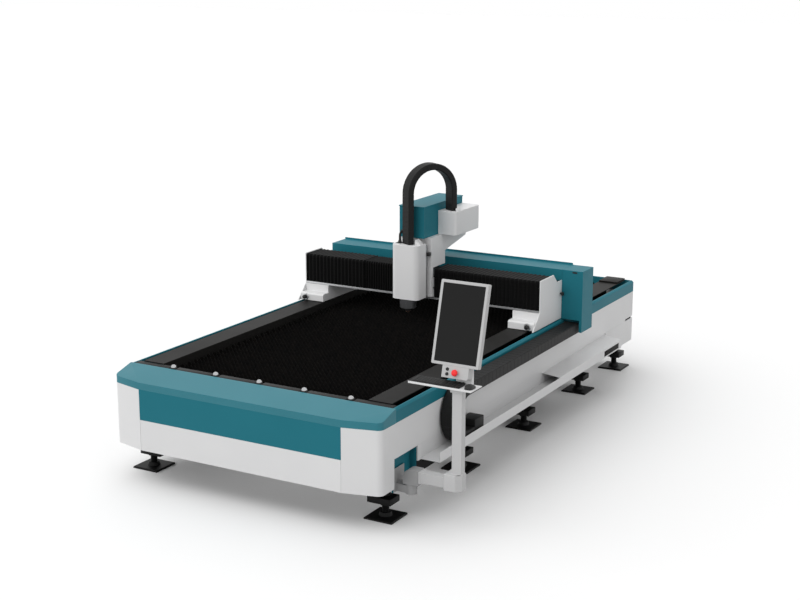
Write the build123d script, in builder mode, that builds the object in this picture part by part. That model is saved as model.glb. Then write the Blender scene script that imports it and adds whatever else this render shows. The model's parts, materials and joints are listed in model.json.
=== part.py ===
# Flat-bed fibre laser cutting machine: welded bed with sheet-metal shell, moving gantry, carriage with
# a height-following head, swing-arm operator console. X runs across the bed, Y along it, Z up from the floor.
import math
import os

from build123d import *

os.makedirs("parts", exist_ok=True)

# Sizes of the bed shell
body_half = 1064.0
body_length = 4378.0
skirt_low = 237.0
skirt_height = 434.0
shell_depth = 12.0
facet_width = 259.0
facet_run = 64.0
wrap_run = 129.0
corner_radius = 45.0
window_height = 216.0
seam_width = 3.0
seam_depth = 3.0
fascia_height = 49.0
slope_rise = 46.0
hood_run = 225.0
ridge_inset = 22.0
ridge_flat = 20.0
band_height = 234.0
slit_height = 16.0
slit_length = 165.0
strip_width = 24.0
strip_bevel = 14.0
strip_gap = 0.5
overcut = 5.0

# Sizes of the console notch in the right side
notch_setback = 223.0
notch_length = 306.0
pocket_depth = 52.0
pocket_rise = 8.0
liner_thick = 4.0

# Sizes of the welded frame
frame_setback = 89.0
beam_width = 192.0
beam_drop = 31.0
ledge_drop = 20.0
ledge_thick = 60.0
ledge_width = 75.0
cross_width = 90.0
cross_height = 183.0
tie_width = 180.0
bar_depth = 54.0
bar_drop = 16.0
bar_gap = 5.0

# Sizes of the support slats
slat_seat = 30.0
slat_thick = 4.0
slat_height = 115.0
slat_front_gap = 30.0
slat_rear_gap = 87.0
slat_count = 54
tooth_depth = 20.0
tooth_count = 6

# Sizes of the rail covers, rails and racks
cover_gap = 11.0
cover_step = 7.0
cover_sheet = 6.0
cover_skirt = 4.0
cover_front_gap = 5.0
cover_rear_gap = 17.0
rail_setback = 77.0
rail_width = 30.0
rail_height = 28.0
rail_front_gap = 30.0
rail_rear_gap = 27.0
rack_gap = 27.0
rack_width = 26.0
rack_height = 25.0

# Sizes of the levelling feet, and where their rows stand along the bed
foot_inset = 102.0
foot_row_shares = (0.0699, 0.3102, 0.55, 0.793, 0.9747)
foot_side = 210.0
foot_thick = 14.0
foot_bevel = 5.0
boss_radius = 46.0
boss_height = 26.0
boss_taper_deg = 18.0
stem_radius = 24.0
stem_sides = 12
nut_radius = 38.0
nut_sides = 6
nut_height = 34.0
nut_drop = 63.0
pad_gap = 2.0
pad_reach = 10.0
pad_length = 130.0
pad_thick = 24.0

# Sizes of the ball transfer units behind the front ridge
ball_margin = 100.0
ball_count = 5
ball_radius = 20.0
ball_rise = 21.0
ball_sides = 16
ball_ring_degs = (-85.0, -60.0, -30.0, 0.0, 30.0, 60.0, 85.0)
cup_radius = 25.0
cup_height = 23.0
cup_floor = 0.6
cup_play = 0.4

# Sizes of the long drag chain and its tray
tray_wall = 3.0
tray_sheet = 4.0
tray_front_gap = 41.0
tray_setback = 614.0
tray_depth = 107.0
lip_height = 68.0
lid_drop = 23.0
lid_length = 1265.0
outlet_setback = 55.0
outlet_length = 315.0
outlet_rise = 10.0
outlet_height = 46.0
chain_side_gap = 8.0
chain_lip_gap = 9.0
chain_floor_gap = 2.0
y_chain_width = 120.0
y_chain_depth = 80.0
y_chain_radius = 164.0
y_chain_bend_run = 447.0
y_chain_fixed_run = 80.0
y_chain_link = 58.0
y_chain_tail = 60.0
link_gap = 0.6
link_chamfer = 5.0

# Sizes of the gantry
gantry_rest = 320.0
gantry_inset = 19.0
running_gap = 3.0
gantry_depth = 330.0
gantry_height = 175.0
gantry_wall = 12.0
plate_thick = 8.0
toe_reach = 192.0
toe_thick = 2.0
knee_rise = 5.0
plate_rise = 6.0
notch_run = 70.0
angle_rise = 2.0
angle_thick = 15.0
angle_setback = 2.0
shoe_gap = 2.0
shoe_height = 62.0
shoe_reach = 160.0
shoe_bevel = 12.0
riser_height = 57.0
riser_reach = 80.0
shoe_tail = 40.0
bumper_inset = 52.0
bumper_rise = 30.0
bumper_radius = 27.0
bumper_out = 38.0
bumper_core_radius = 13.0
bumper_core_depth = 10.0
web_strip_gap = 12.0
web_thick = 20.0
web_cover_gap = 8.0
saddle_rise = 80.0
saddle_thick = 15.0
saddle_front_gap = 30.0
saddle_cover_gap = 15.0
bearing_half = 30.0
bearing_rise = 15.0
bearing_length = 110.0
bearing_inset = 30.0
rail_play = 0.5
motor_gap = 8.0
motor_rack_gap = 4.0
motor_half = 32.0
pinion_radius = 22.0
pinion_tooth = 4.0
pinion_teeth = 20
pinion_play = 0.4
pinion_width = 20.0
pinion_gap = 3.0
pinion_hub_radius = 10.0
x_rail_depth = 20.0
x_rail_width = 25.0
x_rail_low_rise = 40.0
x_rail_high_rise = 120.0
housing_depth = 210.0
housing_rise = 18.0
housing_floor_rise = 80.0
housing_wall = 4.0
housing_rim = 14.0
leg_margin = 33.0
leg_drop = 70.0
leg_mouth_gap = 2.0
leg_return = 22.0
leg_body_gap = 4.0
anchor_thick = 6.0
anchor_setback = 40.0

# Sizes of the bellows over the cross rails
bellows_carriage_gap = 8.0
bellows_reach = 70.0
bellows_back_reach = 170.0
bellows_seat_gap = 1.0
bellows_rise = 70.0
bellows_wall = 14.0
pleat_pitch = 34.0
pleat_depth = 9.0

# Sizes of the carriage
carriage_half = 140.0
slide_gap = 5.0
slide_thick = 30.0
slide_rise = 9.0
column_gap = 12.0
column_depth = 225.0
column_height = 240.0
column_wall = 6.0
x_bearing_margin = 20.0
x_bearing_gap = 6.0
shelf_gap = 2.0
shelf_thick = 8.0
z_motor_half = 40.0
z_motor_height = 145.0
z_motor_cap = 60.0
z_motor_cap_radius = 36.0
screw_setback = 15.0
screw_radius = 8.0
screw_rise = 38.0
screw_clearance = 0.05
z_rail_x = 52.0
z_rail_width = 20.0
z_rail_depth = 19.0
z_rail_rise = 23.0
z_rail_drop = 62.0
hood_half = 108.0
hood_reach = 65.0
hood_tail = 350.0
hood_height = 248.0
hood_wall = 4.0
hood_lid_thick = 8.0
hood_lid_over = 4.0
arm_reach = 366.0
arm_inset = 2.0
arm_root_depth = 139.0
arm_tip_depth = 70.0
arm_radius = 12.0
box_width = 162.0
box_length = 402.0
box_height = 188.0
box_rear_gap = 10.0
box_radius = 25.0

# Sizes of the cutting head
head_half = 116.0
head_depth = 142.0
head_height = 428.0
head_room = 40.0
head_wall = 4.0
head_radius = 42.0
head_plate_thick = 14.0
head_plate_rise = 11.0
head_plate_drop = 12.0
head_axis_inset = 77.0
slide_face_gap = 10.0
ball_nut_half = 24.0
ball_nut_rise = 256.0
ball_nut_height = 60.0
slider_play = 0.5
slider_margin = 9.0
slider_length = 70.0
slider_rise = 41.0
slider_pitch = 125.0
barrel_radius = 50.0
barrel_drop = 92.0
collar_radius = 64.0
collar_height = 71.0
collar_groove = 4.0
collar_rings = 2
nozzle_radius = 48.0
nozzle_waist_radius = 26.0
nozzle_waist_drop = 24.0
nozzle_tip_radius = 9.0
nozzle_tip_height = 18.0
nozzle_sides = 24

# Sizes of the drag chain that arches from the carriage to the head
z_chain_width = 100.0
z_chain_depth = 50.0
z_chain_setback = 67.0
z_chain_rise = 385.0
z_chain_link = 36.0

# Sizes of the short cable beside the drag chain
cable_radius = 9.0
cable_inset = 40.0
cable_setback = 5.0
cable_rise = 84.0
cable_bend = 30.0

# Sizes of the console
pivot_out = 46.0
pivot_setback = 136.0
pivot_radius = 38.0
pivot_length = 68.0
pivot_rise = 7.0
pin_radius = 15.0
pin_length = 74.0
pin_clearance = 0.05
thrust_gap = 0.5
bracket_half = 36.0
bracket_flange_half = 70.0
bracket_flange_thick = 14.0
bracket_flange_drop = 57.0
bracket_flange_height = 160.0
bracket_rib_rise = 8.0
bracket_rib_height = 52.0
elbow_half = 41.0
elbow_height = 101.5
elbow_length = 70.0
elbow_radius = 55.0
boom_half = 34.0
boom_height = 70.0
boom_rise = 24.0
boom_length = 192.0
boom_collar = 20.0
boom_collar_grow = 5.0
knuckle_width = 118.0
knuckle_half = 60.0
knuckle_height = 110.0
knuckle_drop = 6.0
knuckle_chamfer = 34.0
post_inset = 40.0
post_width = 70.0
post_half = 26.0
post_length = 558.0
post_collar = 25.0
post_collar_grow = 10.0
desk_length = 443.0
desk_reach = 60.0
desk_depth = 153.0
desk_thick = 6.0
desk_lip = 8.0
desk_lip_thick = 4.0
desk_inset = 2.0
keyboard_inset = 11.0
keyboard_setback = 10.0
keyboard_length = 334.0
keyboard_depth = 108.0
keyboard_front_thick = 10.0
keyboard_rear_thick = 16.0
key_rows = 5
key_columns = 14
key_height = 4.0
key_gap = 4.0
key_margin = 8.0
mouse_inset = 14.0
mouse_setback = 22.0
mouse_width = 56.0
mouse_length = 96.0
mouse_thick = 30.0
mouse_nose_share = 0.45
mouse_back_share = 0.65
mouse_crest_share = 0.6
mouse_chamfer = 8.0
tilt_deg = 14.8
screen_offset = 50.0
screen_setback = 30.0
screen_rise = 119.0
monitor_half = 165.0
monitor_height = 530.0
monitor_depth = 40.0
monitor_radius = 10.0
bezel = 19.0
glass_depth = 4.0
pod_left = 82.0
pod_right = 102.0
pod_height = 76.0
pod_depth = 60.0
pod_radius = 14.0
neck_half = 55.0
neck_setback = 64.0
neck_rise = 125.0
stop_x = 13.0
stop_drop = 40.0
stop_radius = 21.0
stop_thick = 16.0
stop_gap = 8.0
stop_taper_deg = 12.0
stop_sides = 24
stop_stem_radius = 11.0
stop_stem_depth = 26.0
stop_travel = 6.0
switch_travel = 3.0
bottom_gap = 2.0
button_play = 0.4
switch_x = 45.0
switch_drop = 23.0
switch_pitch = 30.0
switch_radius = 9.0
switch_out = 7.0
switch_depth = 12.0

# Places of the bed shell, worked out from the sizes
body_front = -body_length / 2
body_rear = body_length / 2
beam_outer = body_half - shell_depth
strip_inner = body_half - strip_width
panel_half = body_half - facet_width
corner_y = body_front + facet_run
wrap_end = body_front + wrap_run
fascia_low = skirt_low + skirt_height
teal_low = fascia_low - window_height
slope_low = fascia_low + fascia_height
ridge_top = slope_low + slope_rise
ridge_y = body_front + hood_run
ridge_half = body_half - ridge_inset
hood_rear = ridge_y + ridge_flat
band_low = fascia_low - band_height
notch_front = body_front + notch_setback
notch_rear = notch_front + notch_length
pocket_inner = beam_outer - pocket_depth
pocket_top = band_low + pocket_rise
liner_face = pocket_inner + liner_thick

# Places of the frame, slats, covers, rails and feet
frame_front = body_front + frame_setback
frame_rear = body_rear - shell_depth
beam_inner = beam_outer - beam_width
beam_top = fascia_low - beam_drop
ledge_top = beam_top - ledge_drop
ledge_low = ledge_top - ledge_thick
ledge_inner = beam_inner - ledge_width
cross_top = skirt_low + cross_height
bar_rear = hood_rear + bar_depth
bar_top = ridge_top - bar_drop
bar_half = strip_inner - bar_gap
slat_half = ledge_inner + slat_seat
slat_top = ledge_top + slat_height
slat_first = bar_rear + slat_front_gap
slat_last = frame_rear - slat_rear_gap
slat_step = (slat_last - slat_first) / (slat_count - 1)
web_outer = strip_inner - web_strip_gap
web_inner = web_outer - web_thick
cover_inner = slat_half + cover_gap
cover_outer = web_inner - web_cover_gap
cover_top = ridge_top + cover_step
cover_front = bar_rear + cover_front_gap
cover_rear = frame_rear - cover_rear_gap
rail_centre = beam_outer - rail_setback
rail_inner = rail_centre - rail_width / 2
rail_outer = rail_centre + rail_width / 2
rail_top = beam_top + rail_height
rail_front = bar_rear + rail_front_gap
rail_rear = frame_rear - rail_rear_gap
rack_outer = rail_centre - bearing_half - rack_gap
rack_inner = rack_outer - rack_width
rack_top = beam_top + rack_height
foot_x = beam_outer - foot_inset
foot_rows = [body_front + share * body_length for share in foot_row_shares]
foot_spots = [(side * foot_x, row) for side in (-1, 1) for row in foot_rows]
pad_low = skirt_low - pad_thick
pad_inner = beam_inner - pad_reach
pad_outer = pocket_inner - pad_gap
nut_low = pad_low - nut_drop
ball_y = (hood_rear + bar_rear) / 2
ball_z = bar_top + ball_rise
ball_reach = slat_half - ball_margin
ball_step = 2 * ball_reach / (ball_count - 1)
ball_spots = [number * ball_step - ball_reach for number in range(ball_count)]

# Places of the tray and the long drag chain
tray_inner = beam_outer + tray_wall
y_chain_inner = body_half + chain_side_gap
y_chain_outer = y_chain_inner + y_chain_width
tray_outer = y_chain_outer + chain_lip_gap + tray_sheet
tray_front = notch_rear + tray_front_gap
tray_rear = body_rear - tray_setback
tray_low = band_low - tray_depth
lip_top = tray_low + lip_height
lid_front = tray_rear - lid_length
lid_high = band_low - lid_drop
outlet_rear = tray_rear - outlet_setback
outlet_front = outlet_rear - outlet_length
outlet_low = tray_low + outlet_rise
y_chain_low = tray_low + tray_sheet + chain_floor_gap
y_chain_centre = y_chain_low + y_chain_depth / 2 + y_chain_radius
y_chain_top = y_chain_centre + y_chain_radius + y_chain_depth / 2
y_chain_bend = tray_front + y_chain_bend_run

# Places of the gantry at rest
gantry_half = body_half - gantry_inset
beam_front = gantry_rest
beam_rear = beam_front + gantry_depth
shoe_low = cover_top + running_gap
shoe_top = shoe_low + shoe_height
beam_low = shoe_top + riser_height
beam_high = beam_low + gantry_height
shoe_inner = cover_inner + shoe_gap
shoe_front = beam_front - shoe_reach
shoe_rear = beam_rear + shoe_tail
riser_front = beam_front - riser_reach
angle_low = beam_low + angle_rise
angle_high = angle_low + angle_thick
bellows_front = beam_front - bellows_reach
bellows_back = beam_front + bellows_back_reach
bellows_low = angle_high + bellows_seat_gap
bellows_high = beam_high + bellows_rise
bellows_inner = carriage_half + bellows_carriage_gap
plate_low = shoe_low - toe_thick
plate_top = bellows_high + plate_rise
plate_toe = beam_front - toe_reach
bumper_x = gantry_half - bumper_inset
bumper_z = shoe_low + bumper_rise
saddle_low = beam_top + saddle_rise
saddle_high = saddle_low + saddle_thick
saddle_front = shoe_front + saddle_front_gap
saddle_inner = cover_inner + cover_skirt + saddle_cover_gap
bearing_low = beam_top + bearing_rise
bearing_rows = (saddle_front + bearing_inset, shoe_rear - bearing_inset - bearing_length)
motor_outer = rack_inner - motor_rack_gap
motor_inner = cover_inner + cover_skirt + motor_gap
motor_y = (saddle_front + shoe_rear) / 2
pinion_z = rack_top + pinion_play + pinion_radius
pinion_low = motor_outer + pinion_gap
pinion_high = pinion_low + pinion_width
x_rail_front = beam_front - x_rail_depth
x_rail_rows = (beam_low + x_rail_low_rise, beam_low + x_rail_high_rise)
housing_deck = bellows_high + housing_rise
housing_floor = beam_low + housing_floor_rise
housing_back = beam_rear + housing_depth
leg_inner = gantry_half + plate_thick
leg_outer = y_chain_outer + leg_margin
leg_low = y_chain_top - leg_drop
leg_mouth = ridge_top + leg_mouth_gap
leg_clear = body_half + leg_body_gap
y_chain_end = housing_back - y_chain_tail

# Places of the carriage and the head
slide_rear = bellows_front - slide_gap
slide_front = slide_rear - slide_thick
slide_low = bellows_low + slide_rise
column_low = bellows_high + column_gap
column_rear = slide_front + column_depth
column_top = column_low + column_height
x_bearing_rear = beam_front - x_bearing_gap
hood_front = slide_front - hood_reach
hood_back = column_rear + hood_tail
hood_top = column_top + hood_height
shelf_front = hood_front + hood_wall + shelf_gap
shelf_top = column_top + shelf_thick
screw_y = slide_front - screw_setback
screw_low = slide_low + screw_rise
z_rail_front = slide_front - z_rail_depth
z_rail_low = slide_low + z_rail_rise
z_rail_high = column_top - z_rail_drop
arm_rear = column_rear + arm_reach
arm_half = carriage_half - arm_inset
box_outer = hood_half + box_width
box_rear = hood_back - box_rear_gap
box_front = box_rear - box_length
box_top = column_top + box_height
head_plate_rear = z_rail_front - slide_face_gap
head_back = head_plate_rear - head_plate_thick
head_front = head_back - head_depth
head_top = column_top - head_room
head_low = head_top - head_height
head_axis_y = head_back - head_axis_inset
ball_nut_low = head_low + ball_nut_rise
slider_rows = (head_low + slider_rise, head_low + slider_rise + slider_pitch)
slider_inner = z_rail_x - z_rail_width / 2
slider_outer = z_rail_x + z_rail_width / 2
barrel_top = head_top - barrel_drop
collar_low = head_low - collar_height
nozzle_waist_z = collar_low - nozzle_waist_drop
nozzle_tip_z = nozzle_waist_z - nozzle_tip_height
z_chain_box_x = (hood_half + box_outer) / 2
z_chain_box_y = box_front + z_chain_setback
z_chain_top = box_top + z_chain_rise
cable_x = cable_inset - head_half
cable_y = head_axis_y + cable_setback
cable_high = head_top + cable_rise

# Places of the console
pivot_x = body_half + pivot_out
pivot_y = notch_front + pivot_setback
pivot_high = skirt_low + pivot_rise
pivot_low = pivot_high - pivot_length
pin_top = pivot_high + pin_length
bracket_flange_low = skirt_low - bracket_flange_drop
bracket_rib_low = pivot_low + bracket_rib_rise
elbow_low = pivot_high + thrust_gap
elbow_high = elbow_low + elbow_height
elbow_end = pivot_x + elbow_length
boom_low = pivot_high + boom_rise
boom_high = boom_low + boom_height
knuckle_inner = elbow_end + boom_length
knuckle_outer = knuckle_inner + knuckle_width
knuckle_low = boom_low - knuckle_drop
knuckle_high = knuckle_low + knuckle_height
post_inner = knuckle_inner + post_inset
post_outer = post_inner + post_width
post_x = (post_inner + post_outer) / 2
desk_low = knuckle_high + post_length
desk_top = desk_low + desk_thick
screen_x = post_x - screen_offset
screen_y = pivot_y + screen_setback
screen_z = desk_top + screen_rise
desk_outer = screen_x + monitor_half - desk_inset
desk_inner = desk_outer - desk_length
desk_front = pivot_y - desk_reach
desk_rear = desk_front + desk_depth
keyboard_inner = desk_inner + keyboard_inset
keyboard_outer = keyboard_inner + keyboard_length
keyboard_front = desk_front + keyboard_setback
keyboard_rear = keyboard_front + keyboard_depth
mouse_outer = desk_outer - mouse_inset
mouse_inner = mouse_outer - mouse_width
mouse_front = desk_front + mouse_setback
mouse_rear = mouse_front + mouse_length
neck_front = pivot_y + neck_setback
neck_top = screen_z + neck_rise
stop_hole = stop_stem_depth + stop_travel + bottom_gap
switch_hole = switch_depth + switch_travel + bottom_gap
switch_drops = (switch_drop, switch_drop + switch_pitch)

# The origin is on the floor in the middle of the whole footprint, so the bed's centre line is off to the left
bed_x = (body_half - screen_x - monitor_half) / 2


def block(x_low, x_high, y_low, y_high, z_low, z_high, mode=Mode.ADD):
    """One box between six planes, its x values counted from the bed's centre line."""
    with Locations((bed_x + (x_low + x_high) / 2, (y_low + y_high) / 2, (z_low + z_high) / 2)):
        Box(x_high - x_low, y_high - y_low, z_high - z_low, mode=mode)


def both(x_low, x_high, y_low, y_high, z_low, z_high, mode=Mode.ADD):
    """The same box on the right and, mirrored, on the left."""
    block(x_low, x_high, y_low, y_high, z_low, z_high, mode)
    block(-x_high, -x_low, y_low, y_high, z_low, z_high, mode)


def upright(radius, x, y, z_low, z_high, mode=Mode.ADD):
    """A round bar standing along Z."""
    with Locations((bed_x + x, y, (z_low + z_high) / 2)):
        Cylinder(radius, z_high - z_low, mode=mode)


def faceted(radius, sides, spots, z_low, z_high, taper=0, mode=Mode.ADD):
    """Bars with a regular polygon as section, standing along Z at each (x, y) spot."""
    with BuildSketch(Plane.XY.offset(z_low)) as section:
        with Locations(*[(bed_x + x, y) for x, y in spots]):
            RegularPolygon(radius, sides)
    extrude(section.sketch, amount=z_high - z_low, taper=taper, mode=mode)


def side_profile(points, x_low, x_high, mode=Mode.ADD):
    """A prism along X of an outline given as (y, z) points."""
    with BuildSketch(Plane.YZ.offset(bed_x + x_low)) as outline:
        with BuildLine():
            Polyline(*points, close=True)
        make_face()
    extrude(outline.sketch, amount=x_high - x_low, mode=mode)


def front_profile(points, y_low, y_high, mode=Mode.ADD):
    """A prism along Y of an outline given as (x, z) points."""
    with BuildSketch(Plane.XZ.offset(-y_low)) as outline:
        with BuildLine():
            Polyline(*[(bed_x + x, z) for x, z in points], close=True)
        make_face()
    extrude(outline.sketch, amount=-(y_high - y_low), mode=mode)


def plan_profile(points, z_low, z_high, mode=Mode.ADD):
    """A prism along Z of an outline given as (x, y) points."""
    with BuildSketch(Plane.XY.offset(z_low)) as outline:
        with BuildLine():
            Polyline(*[(bed_x + x, y) for x, y in points], close=True)
        make_face()
    extrude(outline.sketch, amount=z_high - z_low, mode=mode)


def mirrored(points):
    """An outline on the right turned into the same one on the left."""
    return [(-x, z) for x, z in points]


facet_share = facet_run / facet_width


def shell_outline(inset, rear):
    """Plan outline of the front of the bed, moved inwards by inset."""
    half = body_half - inset
    shift = inset * math.sqrt(1 + facet_share**2)
    corner = body_front + (half - panel_half) * facet_share + shift
    knee = panel_half + (inset - shift) / facet_share
    right = [(half, rear), (half, corner), (knee, body_front + inset)]
    return right + mirrored(reversed(right))


def outer_corners(solid):
    """The two upright edges where the front facets meet the sides."""
    return solid.edges().filter_by(Axis.Z).filter_by(
        lambda e: abs(abs(e.center().X - bed_x) - body_half) < strip_gap and abs(e.center().Y - corner_y) < strip_gap)


# Welded frame: side beams, end ties, cross members, slat ledges and the bar that carries the balls
with BuildPart() as bed_frame:
    both(beam_inner, beam_outer, frame_front, frame_rear, skirt_low, beam_top)
    block(-beam_inner, beam_inner, frame_front, frame_front + tie_width, skirt_low, ledge_top)
    block(-beam_inner, beam_inner, frame_rear - tie_width, frame_rear, skirt_low, ledge_top)
    for row in foot_rows[1:-1]:
        block(-beam_inner, beam_inner, row - cross_width / 2, row + cross_width / 2, skirt_low, cross_top)
    both(ledge_inner, beam_inner, frame_front, frame_rear, ledge_low, ledge_top)
    block(-bar_half, bar_half, hood_rear, bar_rear, beam_top, bar_top)
    block(-beam_inner, beam_inner, hood_rear, bar_rear, ledge_low, beam_top)
    block(pocket_inner, beam_outer + overcut, notch_front, notch_rear, skirt_low - overcut, pocket_top,
          mode=Mode.SUBTRACT)
bed_frame.part.label = "bed_frame"
export_step(bed_frame.part, "parts/bed_frame.step")

# Teal liner plate at the back of the console notch
with BuildPart() as inner_panel:
    block(pocket_inner, liner_face, notch_front, notch_rear, skirt_low, pocket_top)
inner_panel.part.label = "inner_panel"
export_step(inner_panel.part, "parts/inner_panel.step")

# White apron round the front, open in the middle for the teal panel, with a seam below each end of the opening
with BuildPart() as front_apron:
    plan_profile(shell_outline(0, wrap_end), skirt_low, fascia_low)
    plan_profile(shell_outline(shell_depth, wrap_end + overcut), skirt_low - overcut, fascia_low + overcut,
                 mode=Mode.SUBTRACT)
    block(-panel_half, panel_half, body_front - overcut, body_front + shell_depth + overcut, teal_low,
          fascia_low + overcut, mode=Mode.SUBTRACT)
    fillet(outer_corners(front_apron), corner_radius)
    both(panel_half - seam_width, panel_half, body_front - overcut, body_front + seam_depth, skirt_low - overcut,
         teal_low + overcut, mode=Mode.SUBTRACT)
front_apron.part.label = "front_apron"
export_step(front_apron.part, "parts/front_apron.step")

with BuildPart() as front_panel:
    block(-panel_half, panel_half, body_front, body_front + shell_depth, teal_low, fascia_low)
front_panel.part.label = "front_panel"
export_step(front_panel.part, "parts/front_panel.step")


def hood_solid(inset):
    """The sloping hood as a full block, its faces moved inwards by inset."""
    low = fascia_low - (overcut if inset else 0)
    with BuildPart() as solid:
        plan_profile(shell_outline(inset, hood_rear - inset), low, ridge_top - inset)
        drop = Vector(bed_x, 0, -inset)
        front_left = Vector(-panel_half, body_front, slope_low) + drop
        front_right = Vector(panel_half, body_front, slope_low) + drop
        corner_right = Vector(body_half, corner_y, slope_low) + drop
        corner_left = Vector(-body_half, corner_y, slope_low) + drop
        ridge_right = Vector(ridge_half, ridge_y, ridge_top) + drop
        ridge_left = Vector(-ridge_half, ridge_y, ridge_top) + drop
        faces = [(front_left, front_right, ridge_right), (front_right, corner_right, ridge_right),
                 (corner_left, front_left, ridge_left)]
        for first, second, third in faces:
            normal = (second - first).cross(third - first)
            split(bisect_by=Plane(origin=first, z_dir=normal), keep=Keep.BOTTOM)
    return solid.part


# Teal hood that slopes up from the front to a ridge
with BuildPart() as front_hood:
    add(hood_solid(0))
    add(hood_solid(shell_depth), mode=Mode.SUBTRACT)
    fillet(outer_corners(front_hood), corner_radius)
front_hood.part.label = "front_hood"
export_step(front_hood.part, "parts/front_hood.step")

# Teal strips along both sides and the rear
strip_outline = [(body_half, fascia_low), (body_half, ridge_top - strip_bevel),
                 (body_half - strip_bevel, ridge_top), (strip_inner, ridge_top), (strip_inner, fascia_low)]
with BuildPart() as edge_strips:
    front_profile(strip_outline, hood_rear, body_rear)
    front_profile(mirrored(strip_outline), hood_rear, body_rear)
    block(-strip_inner + strip_gap, strip_inner - strip_gap, frame_rear, body_rear, fascia_low, ridge_top)
edge_strips.part.label = "edge_strips"
export_step(edge_strips.part, "parts/edge_strips.step")

# White side and rear panels; the right one is a band above the chain tray with lower pieces at its ends
with BuildPart() as left_side_panel:
    block(-body_half, -beam_outer, wrap_end, body_rear, skirt_low, fascia_low)
left_side_panel.part.label = "left_side_panel"
export_step(left_side_panel.part, "parts/left_side_panel.step")

with BuildPart() as right_side_panel:
    block(beam_outer, body_half, wrap_end, body_rear, band_low, fascia_low)
    block(beam_outer - overcut, body_half + overcut, body_rear - slit_length, body_rear + overcut,
          band_low - overcut, band_low + slit_height, mode=Mode.SUBTRACT)
right_side_panel.part.label = "right_side_panel"
export_step(right_side_panel.part, "parts/right_side_panel.step")

with BuildPart() as right_lower_panels:
    block(beam_outer, body_half, wrap_end, notch_front, skirt_low, band_low)
    block(beam_outer, body_half, notch_rear, tray_front, tray_low, band_low)
    block(beam_outer, body_half, tray_rear, body_rear, skirt_low, band_low)
right_lower_panels.part.label = "right_lower_panels"
export_step(right_lower_panels.part, "parts/right_lower_panels.step")

with BuildPart() as rear_panel:
    block(-beam_outer, beam_outer, frame_rear, body_rear, skirt_low, fascia_low)
rear_panel.part.label = "rear_panel"
export_step(rear_panel.part, "parts/rear_panel.step")

# Upright slats with a row of teeth on top, which carry the sheet
tooth_pitch = 2 * slat_half / tooth_count
slat_outline = [(slat_half, ledge_top), (-slat_half, ledge_top)]
for number in range(tooth_count):
    tooth_x = number * tooth_pitch - slat_half
    slat_outline.append((tooth_x, slat_top - tooth_depth))
    slat_outline.append((tooth_x + tooth_pitch / 2, slat_top))
slat_outline.append((slat_half, slat_top - tooth_depth))
slat_planes = [Plane.XZ.offset(-slat_first - number * slat_step) for number in range(slat_count)]
with BuildPart() as support_slats:
    with BuildSketch(*slat_planes):
        with BuildLine():
            Polyline(*[(bed_x + x, z) for x, z in slat_outline], close=True)
        make_face()
    extrude(amount=-slat_thick)
support_slats.part.label = "support_slats"
export_step(support_slats.part, "parts/support_slats.step")

# Dark covers over the rails: a flat top and an inner skirt, open along the outer edge
cover_outline = [(cover_inner, ledge_top), (cover_inner + cover_skirt, ledge_top),
                 (cover_inner + cover_skirt, cover_top - cover_sheet), (cover_outer, cover_top - cover_sheet),
                 (cover_outer, cover_top), (cover_inner, cover_top)]
with BuildPart() as rail_covers:
    front_profile(cover_outline, cover_front, cover_rear)
    front_profile(mirrored(cover_outline), cover_front, cover_rear)
rail_covers.part.label = "rail_covers"
export_step(rail_covers.part, "parts/rail_covers.step")

with BuildPart() as y_rails:
    both(rail_inner, rail_outer, rail_front, rail_rear, beam_top, rail_top)
y_rails.part.label = "y_rails"
export_step(y_rails.part, "parts/y_rails.step")

with BuildPart() as y_racks:
    both(rack_inner, rack_outer, rail_front, rail_rear, beam_top, rack_top)
y_racks.part.label = "y_racks"
export_step(y_racks.part, "parts/y_racks.step")

# Levelling feet: square plate with tapered boss, stem with nut, pad under the frame
with BuildPart() as foot_plates:
    for x, y in foot_spots:
        block(x - foot_side / 2, x + foot_side / 2, y - foot_side / 2, y + foot_side / 2, 0, foot_thick)
    chamfer(foot_plates.faces().filter_by(Axis.Z).sort_by(Axis.Z)[len(foot_spots):].edges(), foot_bevel)
    faceted(boss_radius, stem_sides, foot_spots, foot_thick, foot_thick + boss_height, taper=boss_taper_deg)
foot_plates.part.label = "foot_plates"
export_step(foot_plates.part, "parts/foot_plates.step")

with BuildPart() as foot_stems:
    faceted(stem_radius, stem_sides, foot_spots, foot_thick + boss_height, pad_low)
    faceted(nut_radius, nut_sides, foot_spots, nut_low, nut_low + nut_height)
    for row in foot_rows:
        both(pad_inner, pad_outer, row - pad_length / 2, row + pad_length / 2, pad_low, skirt_low)
foot_stems.part.label = "foot_stems"
export_step(foot_stems.part, "parts/foot_stems.step")

# Ball transfer units: cups on the front bar, each with a ball that stands out of it
bore_radius = (ball_radius + cup_play) / math.cos(math.pi / ball_sides)
cup_spots = [(x, ball_y) for x in ball_spots]
with BuildPart() as ball_cups:
    faceted(cup_radius, ball_sides, cup_spots, bar_top, bar_top + cup_height)
    faceted(bore_radius, ball_sides, cup_spots, bar_top + cup_floor, bar_top + cup_height + overcut,
            mode=Mode.SUBTRACT)
ball_cups.part.label = "ball_cups"
export_step(ball_cups.part, "parts/ball_cups.step")


def faceted_ball(x):
    """A ball as rings of flat facets."""
    with BuildPart() as ball:
        for ring in ball_ring_degs:
            with BuildSketch(Plane.XY.offset(ball_z + ball_radius * math.sin(math.radians(ring)))):
                with Locations((bed_x + x, ball_y)):
                    RegularPolygon(ball_radius * math.cos(math.radians(ring)), ball_sides)
        loft(ruled=True)
    return ball.part


with BuildPart() as transfer_balls:
    for x in ball_spots:
        add(faceted_ball(x))
transfer_balls.part.label = "transfer_balls"
export_step(transfer_balls.part, "parts/transfer_balls.step")

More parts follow.
